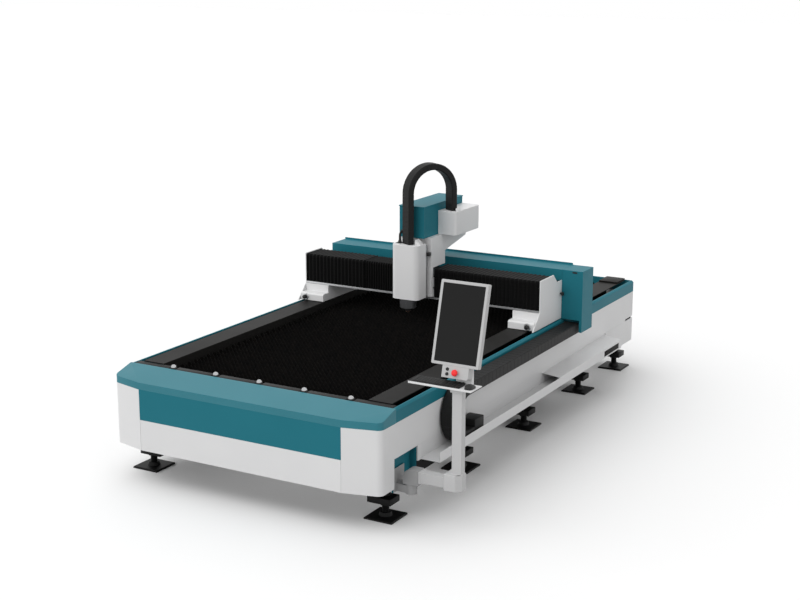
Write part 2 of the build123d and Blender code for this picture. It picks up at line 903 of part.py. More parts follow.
# Tray for the long drag chain: inner wall, floor, outer lip with a cable outlet, lid over its rear part
tray_outline = [(beam_outer, band_low), (tray_inner, band_low), (tray_inner, tray_low + tray_sheet),
                (tray_outer - tray_sheet, tray_low + tray_sheet), (tray_outer - tray_sheet, lip_top),
                (tray_outer, lip_top), (tray_outer, tray_low), (beam_outer, tray_low)]
lid_outline = [(tray_inner, lid_high), (tray_inner, lid_high + tray_sheet), (tray_outer, lip_top + tray_sheet),
               (tray_outer, lip_top), (tray_outer - tray_sheet, lip_top)]
with BuildPart() as chain_tray:
    front_profile(tray_outline, tray_front, tray_rear)
    block(tray_outer - tray_sheet - overcut, tray_outer + overcut, outlet_front, outlet_rear, outlet_low,
          outlet_low + outlet_height, mode=Mode.SUBTRACT)
    front_profile(lid_outline, lid_front, tray_rear)
chain_tray.part.label = "chain_tray"
export_step(chain_tray.part, "parts/chain_tray.step")


def link_outline(path, low, high, half):
    """Outline of one chain link between two lengths along a path, with its corners cut off."""
    cut = link_chamfer
    stations = [(low, half - cut), (low + cut, half), (high - cut, half), (high, half - cut),
                (high, cut - half), (high - cut, -half), (low + cut, -half), (low, cut - half)]
    outline = []
    for along, out in stations:
        (u, v), (side_u, side_v) = path(along)
        outline.append((u + out * side_u, v + out * side_v))
    return outline


def link_spans(length, pitch):
    """The two ends of each link of a chain, a small gap apart."""
    count = round(length / pitch)
    step = length / count
    return [(number * step, (number + 1) * step - link_gap) for number in range(count)]


upper_run = y_chain_end - y_chain_bend
y_bend_run = math.pi * y_chain_radius
y_chain_length = upper_run + y_bend_run + y_chain_fixed_run


def y_chain_path(along):
    """Point (y, z) and outward direction on the long chain's centre line, from the gantry to the fixed end."""
    if along <= upper_run:
        return (y_chain_end - along, y_chain_centre + y_chain_radius), (0, 1)
    if along <= upper_run + y_bend_run:
        turn = (along - upper_run) / y_chain_radius
        out = (-math.sin(turn), math.cos(turn))
        return (y_chain_bend + y_chain_radius * out[0], y_chain_centre + y_chain_radius * out[1]), out
    return (y_chain_bend + along - upper_run - y_bend_run, y_chain_centre - y_chain_radius), (0, -1)


# Long drag chain: upper run from the gantry, bend, fixed end in the tray
with BuildPart() as y_drag_chain:
    for low, high in link_spans(y_chain_length, y_chain_link):
        side_profile(link_outline(y_chain_path, low, high, y_chain_depth / 2), y_chain_inner, y_chain_outer)
y_drag_chain.part.label = "y_drag_chain"
export_step(y_drag_chain.part, "parts/y_drag_chain.step")

# Gantry cross beam, hollow
with BuildPart() as gantry_beam:
    block(-gantry_half, gantry_half, beam_front, beam_rear, beam_low, beam_high)
    block(-gantry_half - overcut, gantry_half + overcut, beam_front + gantry_wall, beam_rear - gantry_wall,
          beam_low + gantry_wall, beam_high - gantry_wall, mode=Mode.SUBTRACT)
gantry_beam.part.label = "gantry_beam"
export_step(gantry_beam.part, "parts/gantry_beam.step")

# White end plates with a stepped top and a toe that reaches forward over the shoe
end_outline = [(plate_toe, plate_low), (plate_toe, shoe_low), (bellows_front, beam_low + knee_rise),
               (bellows_front, plate_top), (bellows_back, plate_top),
               (bellows_back + notch_run, plate_top - notch_run), (beam_rear, plate_top - notch_run),
               (beam_rear, plate_low)]
with BuildPart() as end_plates:
    side_profile(end_outline, gantry_half, leg_inner)
    side_profile(end_outline, -leg_inner, -gantry_half)
end_plates.part.label = "end_plates"
export_step(end_plates.part, "parts/end_plates.step")

# Bright angle along the lower front edge of the gantry
with BuildPart() as bottom_strip:
    block(-gantry_half, gantry_half, bellows_front + angle_setback, beam_front, angle_low, angle_high)
bottom_strip.part.label = "bottom_strip"
export_step(bottom_strip.part, "parts/bottom_strip.step")

# White stepped shoes that carry the beam
shoe_outline = [(shoe_front, shoe_low), (shoe_front, shoe_top - shoe_bevel), (shoe_front + shoe_bevel, shoe_top),
                (riser_front, shoe_top), (riser_front, beam_low), (shoe_rear, beam_low), (shoe_rear, shoe_low)]
with BuildPart() as gantry_feet:
    side_profile(shoe_outline, shoe_inner, gantry_half)
    side_profile(shoe_outline, -gantry_half, -shoe_inner)
gantry_feet.part.label = "gantry_feet"
export_step(gantry_feet.part, "parts/gantry_feet.step")

with BuildPart() as foot_bumpers:
    bumper_spots = [(bed_x + side * bumper_x, bumper_z) for side in (-1, 1)]
    with BuildSketch(Plane.XZ.offset(-shoe_front)) as bumper_discs:
        with Locations(*bumper_spots):
            Circle(bumper_radius)
    extrude(bumper_discs.sketch, amount=bumper_out)
    with BuildSketch(Plane.XZ.offset(bumper_out - shoe_front)) as bumper_cores:
        with Locations(*bumper_spots):
            Circle(bumper_core_radius)
    extrude(bumper_cores.sketch, amount=-bumper_core_depth, mode=Mode.SUBTRACT)
foot_bumpers.part.label = "foot_bumpers"
export_step(foot_bumpers.part, "parts/foot_bumpers.step")

# Saddles under the rail covers: web down from the shoe, plate, bearing blocks on the rail
with BuildPart() as y_saddles:
    both(web_inner, web_outer, saddle_front, shoe_rear, saddle_low, shoe_low)
    both(saddle_inner, web_outer, saddle_front, shoe_rear, saddle_low, saddle_high)
    for row in bearing_rows:
        both(rail_centre - bearing_half, rail_centre + bearing_half, row, row + bearing_length, bearing_low,
             saddle_low)
    both(rail_inner - rail_play, rail_outer + rail_play, saddle_front, shoe_rear, bearing_low - overcut,
         rail_top + rail_play, mode=Mode.SUBTRACT)
y_saddles.part.label = "y_saddles"
export_step(y_saddles.part, "parts/y_saddles.step")

with BuildPart() as y_motors:
    both(motor_inner, motor_outer, motor_y - motor_half, motor_y + motor_half, pinion_z - motor_half, saddle_low)
y_motors.part.label = "y_motors"
export_step(y_motors.part, "parts/y_motors.step")

# Toothed drive pinions, each with a hub towards its motor
gear_outline = []
for number in range(pinion_teeth):
    for quarter, reach in enumerate((0, pinion_tooth, pinion_tooth, 0)):
        turn = 2 * math.pi * (number + quarter / 4) / pinion_teeth
        gear_radius = pinion_radius - pinion_tooth + reach
        gear_outline.append((motor_y + gear_radius * math.cos(turn), pinion_z + gear_radius * math.sin(turn)))


def pinion_hub(x_low, x_high):
    """The short round neck between a motor and its pinion."""
    with BuildSketch(Plane.YZ.offset(bed_x + x_low)) as hub:
        with Locations((motor_y, pinion_z)):
            Circle(pinion_hub_radius)
    extrude(hub.sketch, amount=x_high - x_low)


with BuildPart() as pinion_right:
    side_profile(gear_outline, pinion_low, pinion_high)
    pinion_hub(motor_outer + thrust_gap, pinion_low)
pinion_right.part.label = "pinion_right"
export_step(pinion_right.part, "parts/pinion_right.step")

with BuildPart() as pinion_left:
    side_profile(gear_outline, -pinion_high, -pinion_low)
    pinion_hub(-pinion_low, -motor_outer - thrust_gap)
pinion_left.part.label = "pinion_left"
export_step(pinion_left.part, "parts/pinion_left.step")

with BuildPart() as x_rails:
    for low in x_rail_rows:
        block(-gantry_half, gantry_half, x_rail_front, beam_front, low, low + x_rail_width)
x_rails.part.label = "x_rails"
export_step(x_rails.part, "parts/x_rails.step")

# Teal housing behind the beam, with an upright rim along its rear edge
with BuildPart() as rear_cover:
    block(-gantry_half, leg_inner, beam_rear, housing_back, housing_floor, housing_deck)
    block(-gantry_half + housing_wall, leg_inner - housing_wall, beam_rear + housing_wall,
          housing_back - housing_wall, housing_floor + housing_wall, housing_deck - housing_wall, mode=Mode.SUBTRACT)
    block(-gantry_half, leg_inner, housing_back - housing_wall, housing_back, housing_deck,
          housing_deck + housing_rim)
rear_cover.part.label = "rear_cover"
export_step(rear_cover.part, "parts/rear_cover.step")

# Teal leg that hangs over the drag chain on the right, with a mouth for the chain
with BuildPart() as leg_cover:
    block(leg_inner, leg_outer, beam_rear, housing_back, leg_low, housing_deck)
    block(leg_inner + housing_wall, leg_outer - housing_wall, beam_rear + housing_wall, housing_back - housing_wall,
          leg_low - overcut, housing_deck - housing_wall, mode=Mode.SUBTRACT)
    block(leg_inner - overcut, leg_outer - leg_return, beam_rear - overcut, beam_rear + housing_wall + overcut,
          leg_low - overcut, leg_mouth, mode=Mode.SUBTRACT)
    block(leg_inner - overcut, leg_clear, beam_rear - overcut, housing_back + overcut, leg_low - overcut, leg_mouth,
          mode=Mode.SUBTRACT)
    block(y_chain_inner, y_chain_outer, beam_rear + anchor_setback, housing_back - housing_wall, y_chain_top,
          y_chain_top + anchor_thick)
leg_cover.part.label = "leg_cover"
export_step(leg_cover.part, "parts/leg_cover.step")

pleat_count = round((gantry_half - bellows_inner) / pleat_pitch)
pleat_step = (gantry_half - bellows_inner) / pleat_count


def pleat_line(x_low, place, inward):
    """A zigzag along X: folds lie at place and sink inwards between them."""
    half_step = pleat_step / 2
    return [(x_low + number * half_step, place + inward * pleat_depth * (number % 2))
            for number in range(2 * pleat_count + 1)]


def bellows_cover(x_low):
    """A folded cover with mitred pleats: front wall, top wall and a short rear wall over the beam."""
    x_high = x_low + pleat_step * pleat_count
    plan = pleat_line(x_low, bellows_front, 1) + list(reversed(pleat_line(x_low, bellows_back, -1)))
    plan_profile(plan, bellows_low, bellows_high)
    rise = pleat_line(x_low, bellows_high, -1) + [(x_high, bellows_low), (x_low, bellows_low)]
    front_profile(rise, bellows_front, bellows_back, mode=Mode.INTERSECT)
    block(x_low - overcut, x_high + overcut, bellows_front + bellows_wall, bellows_back - bellows_wall,
          bellows_low - overcut, bellows_high - bellows_wall, mode=Mode.SUBTRACT)
    block(x_low - overcut, x_high + overcut, bellows_back - bellows_wall - overcut, bellows_back + overcut,
          bellows_low - overcut, beam_high, mode=Mode.SUBTRACT)


with BuildPart() as bellows_left:
    bellows_cover(-gantry_half)
bellows_left.part.label = "bellows_left"
export_step(bellows_left.part, "parts/bellows_left.step")

with BuildPart() as bellows_right:
    bellows_cover(bellows_inner)
bellows_right.part.label = "bellows_right"
export_step(bellows_right.part, "parts/bellows_right.step")

# Carriage plate with its bearing blocks on the cross rails and the upright rails for the head
with BuildPart() as carriage_plate:
    block(-carriage_half, carriage_half, slide_front, slide_rear, slide_low, column_low)
    for low in x_rail_rows:
        block(-carriage_half, carriage_half, slide_rear, x_bearing_rear, low - x_bearing_margin,
              low + x_rail_width + x_bearing_margin)
    for low in x_rail_rows:
        block(-carriage_half - overcut, carriage_half + overcut, x_rail_front - rail_play, x_bearing_rear + overcut,
              low - rail_play, low + x_rail_width + rail_play, mode=Mode.SUBTRACT)
    both(slider_inner, slider_outer, z_rail_front, slide_front, z_rail_low, z_rail_high)
carriage_plate.part.label = "carriage_plate"
export_step(carriage_plate.part, "parts/carriage_plate.step")

# White column over the bellows, hollow, with a shelf in front for the height motor
with BuildPart() as carriage_column:
    block(-carriage_half, carriage_half, slide_front, column_rear, column_low, column_top)
    block(-carriage_half + column_wall, carriage_half - column_wall, slide_rear, column_rear - column_wall,
          column_low - overcut, column_top - column_wall, mode=Mode.SUBTRACT)
    block(-hood_half + hood_wall, hood_half - hood_wall, shelf_front, column_rear, column_top, shelf_top)
    upright(screw_radius + screw_clearance, 0, screw_y, column_top - overcut, shelf_top + overcut,
            mode=Mode.SUBTRACT)
carriage_column.part.label = "carriage_column"
export_step(carriage_column.part, "parts/carriage_column.step")

with BuildPart() as z_motor:
    block(-z_motor_half, z_motor_half, screw_y - z_motor_half, screw_y + z_motor_half, shelf_top,
          shelf_top + z_motor_height)
    upright(z_motor_cap_radius, 0, screw_y, shelf_top + z_motor_height, shelf_top + z_motor_height + z_motor_cap)
z_motor.part.label = "z_motor"
export_step(z_motor.part, "parts/z_motor.step")

with BuildPart() as z_screw:
    upright(screw_radius, 0, screw_y, screw_low, shelf_top - thrust_gap)
z_screw.part.label = "z_screw"
export_step(z_screw.part, "parts/z_screw.step")

# Tapered arm reaching back over the gantry
with BuildPart() as carriage_arm:
    side_profile([(column_rear, column_top - arm_root_depth), (column_rear, column_top), (arm_rear, column_top),
                  (arm_rear, column_top - arm_tip_depth)], -arm_half, arm_half)
    fillet(carriage_arm.faces().sort_by(Axis.Y)[-1].edges().filter_by(Axis.Z), arm_radius)
carriage_arm.part.label = "carriage_arm"
export_step(carriage_arm.part, "parts/carriage_arm.step")

# Teal cover over the height motor and the arm, with a lid that stands out round the top
with BuildPart() as motor_cover:
    block(-hood_half, hood_half, hood_front, hood_back, column_top, hood_top)
    block(-hood_half - hood_lid_over, hood_half + hood_lid_over, hood_front - hood_lid_over,
          hood_back + hood_lid_over, hood_top - hood_lid_thick, hood_top)
    block(-hood_half + hood_wall, hood_half - hood_wall, hood_front + hood_wall, hood_back - hood_wall,
          column_top - overcut, hood_top - hood_wall, mode=Mode.SUBTRACT)
motor_cover.part.label = "motor_cover"
export_step(motor_cover.part, "parts/motor_cover.step")

# White junction box beside the motor cover
with BuildPart() as junction_box:
    block(hood_half, box_outer, box_front, box_rear, column_top, box_top)
    fillet(junction_box.edges().filter_by(Axis.Z).sort_by(Axis.X)[-2:], box_radius)
junction_box.part.label = "junction_box"
export_step(junction_box.part, "parts/junction_box.step")

# Head: rounded white cover, slide plate with nut, cutting head barrel and collar, nozzle
with BuildPart() as head_cover:
    block(-head_half, head_half, head_front, head_back, head_low, head_top)
    fillet(head_cover.edges().filter_by(Axis.Z).sort_by(Axis.Y)[:2], head_radius)
    with BuildSketch(Plane.XY.offset(head_low - overcut)) as head_hollow:
        with Locations((bed_x, (head_front + head_back) / 2 + head_wall)):
            Rectangle(2 * (head_half - head_wall), head_depth)
        fillet(head_hollow.vertices().sort_by(Axis.Y)[:2], head_radius - head_wall)
    extrude(amount=head_height - head_wall + overcut, mode=Mode.SUBTRACT)
head_cover.part.label = "head_cover"
export_step(head_cover.part, "parts/head_cover.step")

with BuildPart() as head_plate:
    block(-head_half, head_half, head_back, head_plate_rear, head_low + head_plate_rise, head_top - head_plate_drop)
    block(-ball_nut_half, ball_nut_half, head_plate_rear, slide_front - slider_play, ball_nut_low,
          ball_nut_low + ball_nut_height)
    upright(screw_radius + screw_clearance, 0, screw_y, ball_nut_low - overcut,
            ball_nut_low + ball_nut_height + overcut, mode=Mode.SUBTRACT)
    for row in slider_rows:
        both(slider_inner - slider_margin, slider_outer + slider_margin, head_plate_rear,
             slide_front - slider_margin, row, row + slider_length)
    both(slider_inner - slider_play, slider_outer + slider_play, z_rail_front - slider_play, slide_front,
         head_low, head_top, mode=Mode.SUBTRACT)
head_plate.part.label = "head_plate"
export_step(head_plate.part, "parts/head_plate.step")

collar_ring = collar_height / collar_rings
with BuildPart() as cutting_head:
    upright(barrel_radius, 0, head_axis_y, head_low, barrel_top)
    block(-barrel_radius, barrel_radius, head_axis_y, head_back, head_low, barrel_top)
    for number in range(collar_rings):
        ring_low = collar_low + number * collar_ring
        groove_low = ring_low + collar_ring - collar_groove
        faceted(collar_radius, nozzle_sides, [(0, head_axis_y)], ring_low, groove_low)
        faceted(barrel_radius, nozzle_sides, [(0, head_axis_y)], groove_low, ring_low + collar_ring)
cutting_head.part.label = "cutting_head"
export_step(cutting_head.part, "parts/cutting_head.step")


def turned_cone(low_radius, high_radius, z_low, z_high):
    """A cone of flat facets on the head's axis, drawn from its wide end down."""
    flat_share = math.cos(math.pi / nozzle_sides)
    taper_deg = math.degrees(math.atan2((high_radius - low_radius) * flat_share, z_high - z_low))
    with BuildSketch(Plane.XY.offset(z_high)) as section:
        with Locations((bed_x, head_axis_y)):
            RegularPolygon(high_radius, nozzle_sides)
    extrude(section.sketch, amount=z_low - z_high, taper=taper_deg)


with BuildPart() as nozzle:
    turned_cone(nozzle_waist_radius, nozzle_radius, nozzle_waist_z, collar_low)
    turned_cone(nozzle_tip_radius, nozzle_waist_radius, nozzle_tip_z, nozzle_waist_z)
nozzle.part.label = "nozzle"
export_step(nozzle.part, "parts/nozzle.step")

# Drag chain arching from the head to the junction box
arch_y = z_chain_box_y - head_axis_y
arch_radius = math.hypot(z_chain_box_x, arch_y) / 2
spring_z = z_chain_top - arch_radius - z_chain_depth / 2
head_leg = spring_z - head_top
arch_run = math.pi * arch_radius
z_chain_length = head_leg + arch_run + spring_z - box_top


def z_chain_path(along):
    """Point and outward direction on the arched chain's centre line, in its own upright plane."""
    if along <= head_leg:
        return (-arch_radius, head_top + along), (-1, 0)
    if along <= head_leg + arch_run:
        turn = (along - head_leg) / arch_radius
        out = (-math.cos(turn), math.sin(turn))
        return (arch_radius * out[0], spring_z + arch_radius * out[1]), out
    return (arch_radius, spring_z - (along - head_leg - arch_run)), (1, 0)


arch_plane = Plane(origin=(bed_x + z_chain_box_x / 2, head_axis_y + arch_y / 2, 0), x_dir=(z_chain_box_x, arch_y, 0),
                   z_dir=(arch_y, -z_chain_box_x, 0))
with BuildPart() as z_drag_chain:
    for low, high in link_spans(z_chain_length + link_gap, z_chain_link):
        with BuildSketch(arch_plane) as arch_link:
            with BuildLine():
                Polyline(*link_outline(z_chain_path, low, high, z_chain_depth / 2), close=True)
            make_face()
        extrude(arch_link.sketch, amount=z_chain_width / 2, both=True)
z_drag_chain.part.label = "z_drag_chain"
export_step(z_drag_chain.part, "parts/z_drag_chain.step")

# Short cable from the motor cover down to the head
with BuildPart() as head_cable:
    with BuildLine():
        FilletPolyline((bed_x + cable_x, cable_y, head_top), (bed_x + cable_x, cable_y, cable_high),
                       (bed_x + cable_x, hood_front, cable_high), radius=cable_bend)
    with BuildSketch(Plane.XY.offset(head_top)):
        with Locations((bed_x + cable_x, cable_y)):
            Circle(cable_radius)
    sweep()
head_cable.part.label = "head_cable"
export_step(head_cable.part, "parts/head_cable.step")

# Console bracket bolted in the notch, with an upright pivot pin
with BuildPart() as console_bracket:
    block(liner_face, liner_face + bracket_flange_thick, pivot_y - bracket_flange_half,
          pivot_y + bracket_flange_half, bracket_flange_low, bracket_flange_low + bracket_flange_height)
    block(liner_face, pivot_x, pivot_y - bracket_half, pivot_y + bracket_half, bracket_rib_low,
          bracket_rib_low + bracket_rib_height)
    upright(pivot_radius, pivot_x, pivot_y, pivot_low, pivot_high)
    upright(pin_radius, pivot_x, pivot_y, pivot_high, pin_top)
console_bracket.part.label = "console_bracket"
export_step(console_bracket.part, "parts/console_bracket.step")

# Grey elbow with a round back that turns on the pin
with BuildPart() as console_elbow:
    block(pivot_x - elbow_half, elbow_end, pivot_y - elbow_half, pivot_y + elbow_half, elbow_low, elbow_high)
    fillet(console_elbow.edges().filter_by(Axis.Y).group_by(Axis.X)[0].sort_by(Axis.Z)[-1], elbow_radius)
    upright(pin_radius + pin_clearance, pivot_x, pivot_y, elbow_low - overcut, pin_top + thrust_gap,
            mode=Mode.SUBTRACT)
console_elbow.part.label = "console_elbow"
export_step(console_elbow.part, "parts/console_elbow.step")

with BuildPart() as console_arm:
    block(elbow_end, knuckle_inner, pivot_y - boom_half, pivot_y + boom_half, boom_low, boom_high)
    block(elbow_end, elbow_end + boom_collar, pivot_y - boom_half - boom_collar_grow,
          pivot_y + boom_half + boom_collar_grow, boom_low - boom_collar_grow, boom_high + boom_collar_grow)
console_arm.part.label = "console_arm"
export_step(console_arm.part, "parts/console_arm.step")

with BuildPart() as console_post:
    block(knuckle_inner, knuckle_outer, pivot_y - knuckle_half, pivot_y + knuckle_half, knuckle_low, knuckle_high)
    chamfer(console_post.edges().filter_by(Axis.Z).sort_by(Axis.X)[-2:], knuckle_chamfer)
    block(post_inner, post_outer, pivot_y - post_half, pivot_y + post_half, knuckle_high, desk_low)
    block(post_inner - post_collar_grow, post_outer + post_collar_grow, pivot_y - post_half - post_collar_grow,
          pivot_y + post_half + post_collar_grow, desk_low - post_collar, desk_low)
console_post.part.label = "console_post"
export_step(console_post.part, "parts/console_post.step")

# Wedge-shaped keyboard with rows of keys
key_step_x = (keyboard_length - 2 * key_margin) / key_columns
key_step_y = (keyboard_depth - 2 * key_margin) / key_rows
key_lean = math.atan2(keyboard_rear_thick - keyboard_front_thick, keyboard_depth)
key_plane = Plane(origin=(bed_x + (keyboard_inner + keyboard_outer) / 2, (keyboard_front + keyboard_rear) / 2,
                          desk_top + (keyboard_front_thick + keyboard_rear_thick) / 2),
                  x_dir=(1, 0, 0), z_dir=(0, -math.sin(key_lean), math.cos(key_lean)))
with BuildPart() as keyboard:
    side_profile([(keyboard_front, desk_top), (keyboard_rear, desk_top),
                  (keyboard_rear, desk_top + keyboard_rear_thick),
                  (keyboard_front, desk_top + keyboard_front_thick)], keyboard_inner, keyboard_outer)
    with BuildSketch(key_plane) as key_field:
        with GridLocations(key_step_x, key_step_y, key_columns, key_rows):
            Rectangle(key_step_x - key_gap, key_step_y - key_gap)
    extrude(key_field.sketch, amount=key_height)
keyboard.part.label = "keyboard"
export_step(keyboard.part, "parts/keyboard.step")

# Mouse: a humped back between chamfered flanks
with BuildPart() as mouse:
    side_profile([(mouse_front, desk_top), (mouse_rear, desk_top),
                  (mouse_rear, desk_top + mouse_nose_share * mouse_thick),
                  (mouse_front + mouse_crest_share * mouse_length, desk_top + mouse_thick),
                  (mouse_front, desk_top + mouse_back_share * mouse_thick)], mouse_inner, mouse_outer)
    chamfer(mouse.faces().sort_by(Axis.Z)[-2:].edges().filter_by(Axis.X, reverse=True), mouse_chamfer)
mouse.part.label = "mouse"
export_step(mouse.part, "parts/mouse.step")

tilt = math.radians(tilt_deg)
tilt_plane = Plane(origin=(bed_x + screen_x, screen_y, screen_z), x_dir=(1, 0, 0),
                   z_dir=(0, -math.cos(tilt), math.sin(tilt)))


def tilted(x_low, x_high, y_low, y_high, z_low, z_high, mode=Mode.ADD):
    """A box in the leaning frame of the screen: x across, y up the screen, z out of its face."""
    middle = ((x_low + x_high) / 2, (y_low + y_high) / 2, (z_low + z_high) / 2)
    with Locations(tilt_plane * Location(middle)):
        Box(x_high - x_low, y_high - y_low, z_high - z_low, mode=mode)


def tilted_pin(radius, x, y, z_low, z_high, mode=Mode.ADD):
    """A round pin standing out of the leaning face."""
    with Locations(tilt_plane * Location((x, y, (z_low + z_high) / 2))):
        Cylinder(radius, z_high - z_low, mode=mode)


screen_normal = Axis((0, 0, 0), tilt_plane.z_dir)
with BuildPart() as monitor:
    tilted(-monitor_half, monitor_half, 0, monitor_height, -monitor_depth, 0)
    fillet(monitor.edges().filter_by(screen_normal), monitor_radius)
    tilted(-monitor_half + bezel, monitor_half - bezel, bezel, monitor_height - bezel, -glass_depth, overcut,
           mode=Mode.SUBTRACT)
monitor.part.label = "monitor"
export_step(monitor.part, "parts/monitor.step")

with BuildPart() as monitor_glass:
    tilted(-monitor_half + bezel, monitor_half - bezel, bezel, monitor_height - bezel, -glass_depth, 0)
monitor_glass.part.label = "monitor_glass"
export_step(monitor_glass.part, "parts/monitor_glass.step")

# Pod for the push buttons, hung below the monitor
with BuildPart() as control_box:
    tilted(-pod_left, pod_right, -pod_height, 0, -pod_depth, 0)
    fillet(control_box.edges().filter_by(screen_normal).sort_by(Axis.X)[-2:].sort_by(Axis.Z)[0], pod_radius)
    tilted_pin(stop_stem_radius + button_play, stop_x, -stop_drop, -stop_hole, overcut, mode=Mode.SUBTRACT)
    for drop in switch_drops:
        tilted_pin(switch_radius + button_play, -switch_x, -drop, -switch_hole, overcut, mode=Mode.SUBTRACT)
control_box.part.label = "control_box"
export_step(control_box.part, "parts/control_box.step")

# Desk with a front lip and an upright neck that holds the control pod and the monitor from behind
with BuildPart() as console_desk:
    block(post_x - neck_half, post_x + neck_half, neck_front, desk_rear, desk_low, neck_top)
    tilted(-monitor_half, monitor_half, -pod_height, 0, -pod_depth, monitor_depth * 2, mode=Mode.SUBTRACT)
    tilted(-monitor_half, monitor_half, 0, monitor_height, -monitor_depth, monitor_depth * 2, mode=Mode.SUBTRACT)
    block(desk_inner, desk_outer, desk_front, desk_rear, desk_low, desk_top)
    block(desk_inner, desk_outer, desk_front, desk_front + desk_lip_thick, desk_top, desk_top + desk_lip)
console_desk.part.label = "console_desk"
export_step(console_desk.part, "parts/console_desk.step")

# Mushroom stop button and two push switches
with BuildPart() as stop_button:
    tilted_pin(stop_stem_radius, stop_x, -stop_drop, -stop_stem_depth, stop_gap)
    with BuildSketch(tilt_plane.offset(stop_gap)) as stop_cap:
        with Locations((stop_x, -stop_drop)):
            RegularPolygon(stop_radius, stop_sides)
    extrude(stop_cap.sketch, amount=stop_thick, taper=stop_taper_deg)
stop_button.part.label = "stop_button"
export_step(stop_button.part, "parts/stop_button.step")

with BuildPart() as switch_upper:
    tilted_pin(switch_radius, -switch_x, -switch_drops[0], -switch_depth, switch_out)
switch_upper.part.label = "switch_upper"
export_step(switch_upper.part, "parts/switch_upper.step")

with BuildPart() as switch_lower:
    tilted_pin(switch_radius, -switch_x, -switch_drops[1], -switch_depth, switch_out)
switch_lower.part.label = "switch_lower"
export_step(switch_lower.part, "parts/switch_lower.step")
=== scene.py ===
# A flat-bed laser cutting machine on a pale studio floor: enamelled sheet steel, folded bellows,
# link chains, toothed slats and a swing-out operator console. Lengths are in metres.
import json
import math

import bmesh
import bpy
from mathutils import Matrix, Vector

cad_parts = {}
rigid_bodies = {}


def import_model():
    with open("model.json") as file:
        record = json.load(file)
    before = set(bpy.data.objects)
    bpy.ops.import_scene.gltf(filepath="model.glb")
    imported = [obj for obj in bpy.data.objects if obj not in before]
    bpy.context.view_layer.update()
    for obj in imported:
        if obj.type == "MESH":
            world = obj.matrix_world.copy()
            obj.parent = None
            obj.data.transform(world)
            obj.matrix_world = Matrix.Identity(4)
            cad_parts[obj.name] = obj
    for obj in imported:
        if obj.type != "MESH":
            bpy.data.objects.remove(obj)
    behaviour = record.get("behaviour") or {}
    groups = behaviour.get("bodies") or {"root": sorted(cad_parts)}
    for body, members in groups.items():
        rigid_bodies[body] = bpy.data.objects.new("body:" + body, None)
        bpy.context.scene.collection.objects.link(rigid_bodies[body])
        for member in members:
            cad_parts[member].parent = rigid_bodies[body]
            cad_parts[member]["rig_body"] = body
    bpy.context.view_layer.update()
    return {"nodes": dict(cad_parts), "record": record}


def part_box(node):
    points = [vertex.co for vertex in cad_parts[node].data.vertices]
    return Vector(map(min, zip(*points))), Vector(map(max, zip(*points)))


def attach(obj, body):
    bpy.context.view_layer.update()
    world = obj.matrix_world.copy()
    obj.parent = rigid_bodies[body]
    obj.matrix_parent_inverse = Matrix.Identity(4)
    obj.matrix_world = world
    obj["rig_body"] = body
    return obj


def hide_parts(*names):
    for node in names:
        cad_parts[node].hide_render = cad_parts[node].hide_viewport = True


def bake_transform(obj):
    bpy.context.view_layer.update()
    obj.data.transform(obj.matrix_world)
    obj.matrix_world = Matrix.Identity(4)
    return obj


MM = 0.001

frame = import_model()
cad = frame["nodes"]
scene = bpy.context.scene
scene.view_settings.view_transform = "Standard"


# Finishes

def colour(code):
    """An sRGB hex colour as linear red, green, blue and alpha."""
    parts = [int(code[i:i + 2], 16) / 255 for i in (1, 3, 5)]
    return tuple(c / 12.92 if c <= 0.04045 else ((c + 0.055) / 1.055) ** 2.4 for c in parts) + (1.0,)


def add_node(tree, kind, settings=None, inputs=None, links=None):
    """One shader node, with its own settings, fixed input values and the sockets that feed it."""
    node = tree.nodes.new(kind)
    for key, value in (settings or {}).items():
        setattr(node, key, value)
    for key, value in (inputs or {}).items():
        node.inputs[key].default_value = value
    for key, socket in (links or {}).items():
        tree.links.new(socket, node.inputs[key])
    return node


def blank_finish(name):
    """A material with an empty node tree, and that tree."""
    finish = bpy.data.materials.new(name)
    finish.use_nodes = True
    finish.node_tree.nodes.clear()
    return finish, finish.node_tree


def close_finish(tree, shader):
    add_node(tree, "ShaderNodeOutputMaterial", links={"Surface": shader.outputs[0]})


def worked_surface(tree, pattern, grain, colours, roughness, relief, body):
    """What painted, moulded and machined surfaces share: a pattern takes colour and roughness from one value
    to another, and a grain lifts the surface by a strength over a depth. The body holds the fixed values."""
    tint = add_node(tree, "ShaderNodeMix", {"data_type": "RGBA"},
                    {"A": colour(colours[0]), "B": colour(colours[1])}, {"Factor": pattern})
    rough = add_node(tree, "ShaderNodeMapRange", inputs={"To Min": roughness[0], "To Max": roughness[1]},
                     links={"Value": pattern})
    bump = add_node(tree, "ShaderNodeBump", inputs={"Strength": relief[0], "Distance": relief[1]},
                    links={"Height": grain})
    shader = add_node(tree, "ShaderNodeBsdfPrincipled", inputs=body,
                      links={"Base Color": tint.outputs["Result"], "Roughness": rough.outputs["Result"],
                             "Normal": bump.outputs["Normal"]})
    close_finish(tree, shader)


def powder_coat(name, code, shade, gloss, shine=0.5):
    """Powder-coated sheet steel: an even colour with a faint cloudiness and a soft orange-peel skin that
    breaks up the highlights. Real peel is about 1 mm across; it is drawn at 5 mm so that it shows."""
    finish, tree = blank_finish(name)
    cloud_width = 450 * MM
    peel_width = 5 * MM
    place = add_node(tree, "ShaderNodeTexCoord").outputs["Object"]
    cloud = add_node(tree, "ShaderNodeTexNoise", inputs={"Scale": 1 / cloud_width, "Detail": 3.0},
                     links={"Vector": place})
    peel = add_node(tree, "ShaderNodeTexNoise", inputs={"Scale": 1 / peel_width, "Detail": 2.0},
                    links={"Vector": place})
    worked_surface(tree, cloud.outputs["Fac"], peel.outputs["Fac"], (code, shade),
                   roughness=(gloss - 0.05, gloss + 0.07), relief=(0.06, 0.4 * MM),
                   body={"IOR": 1.5, "Specular IOR Level": shine})
    return finish


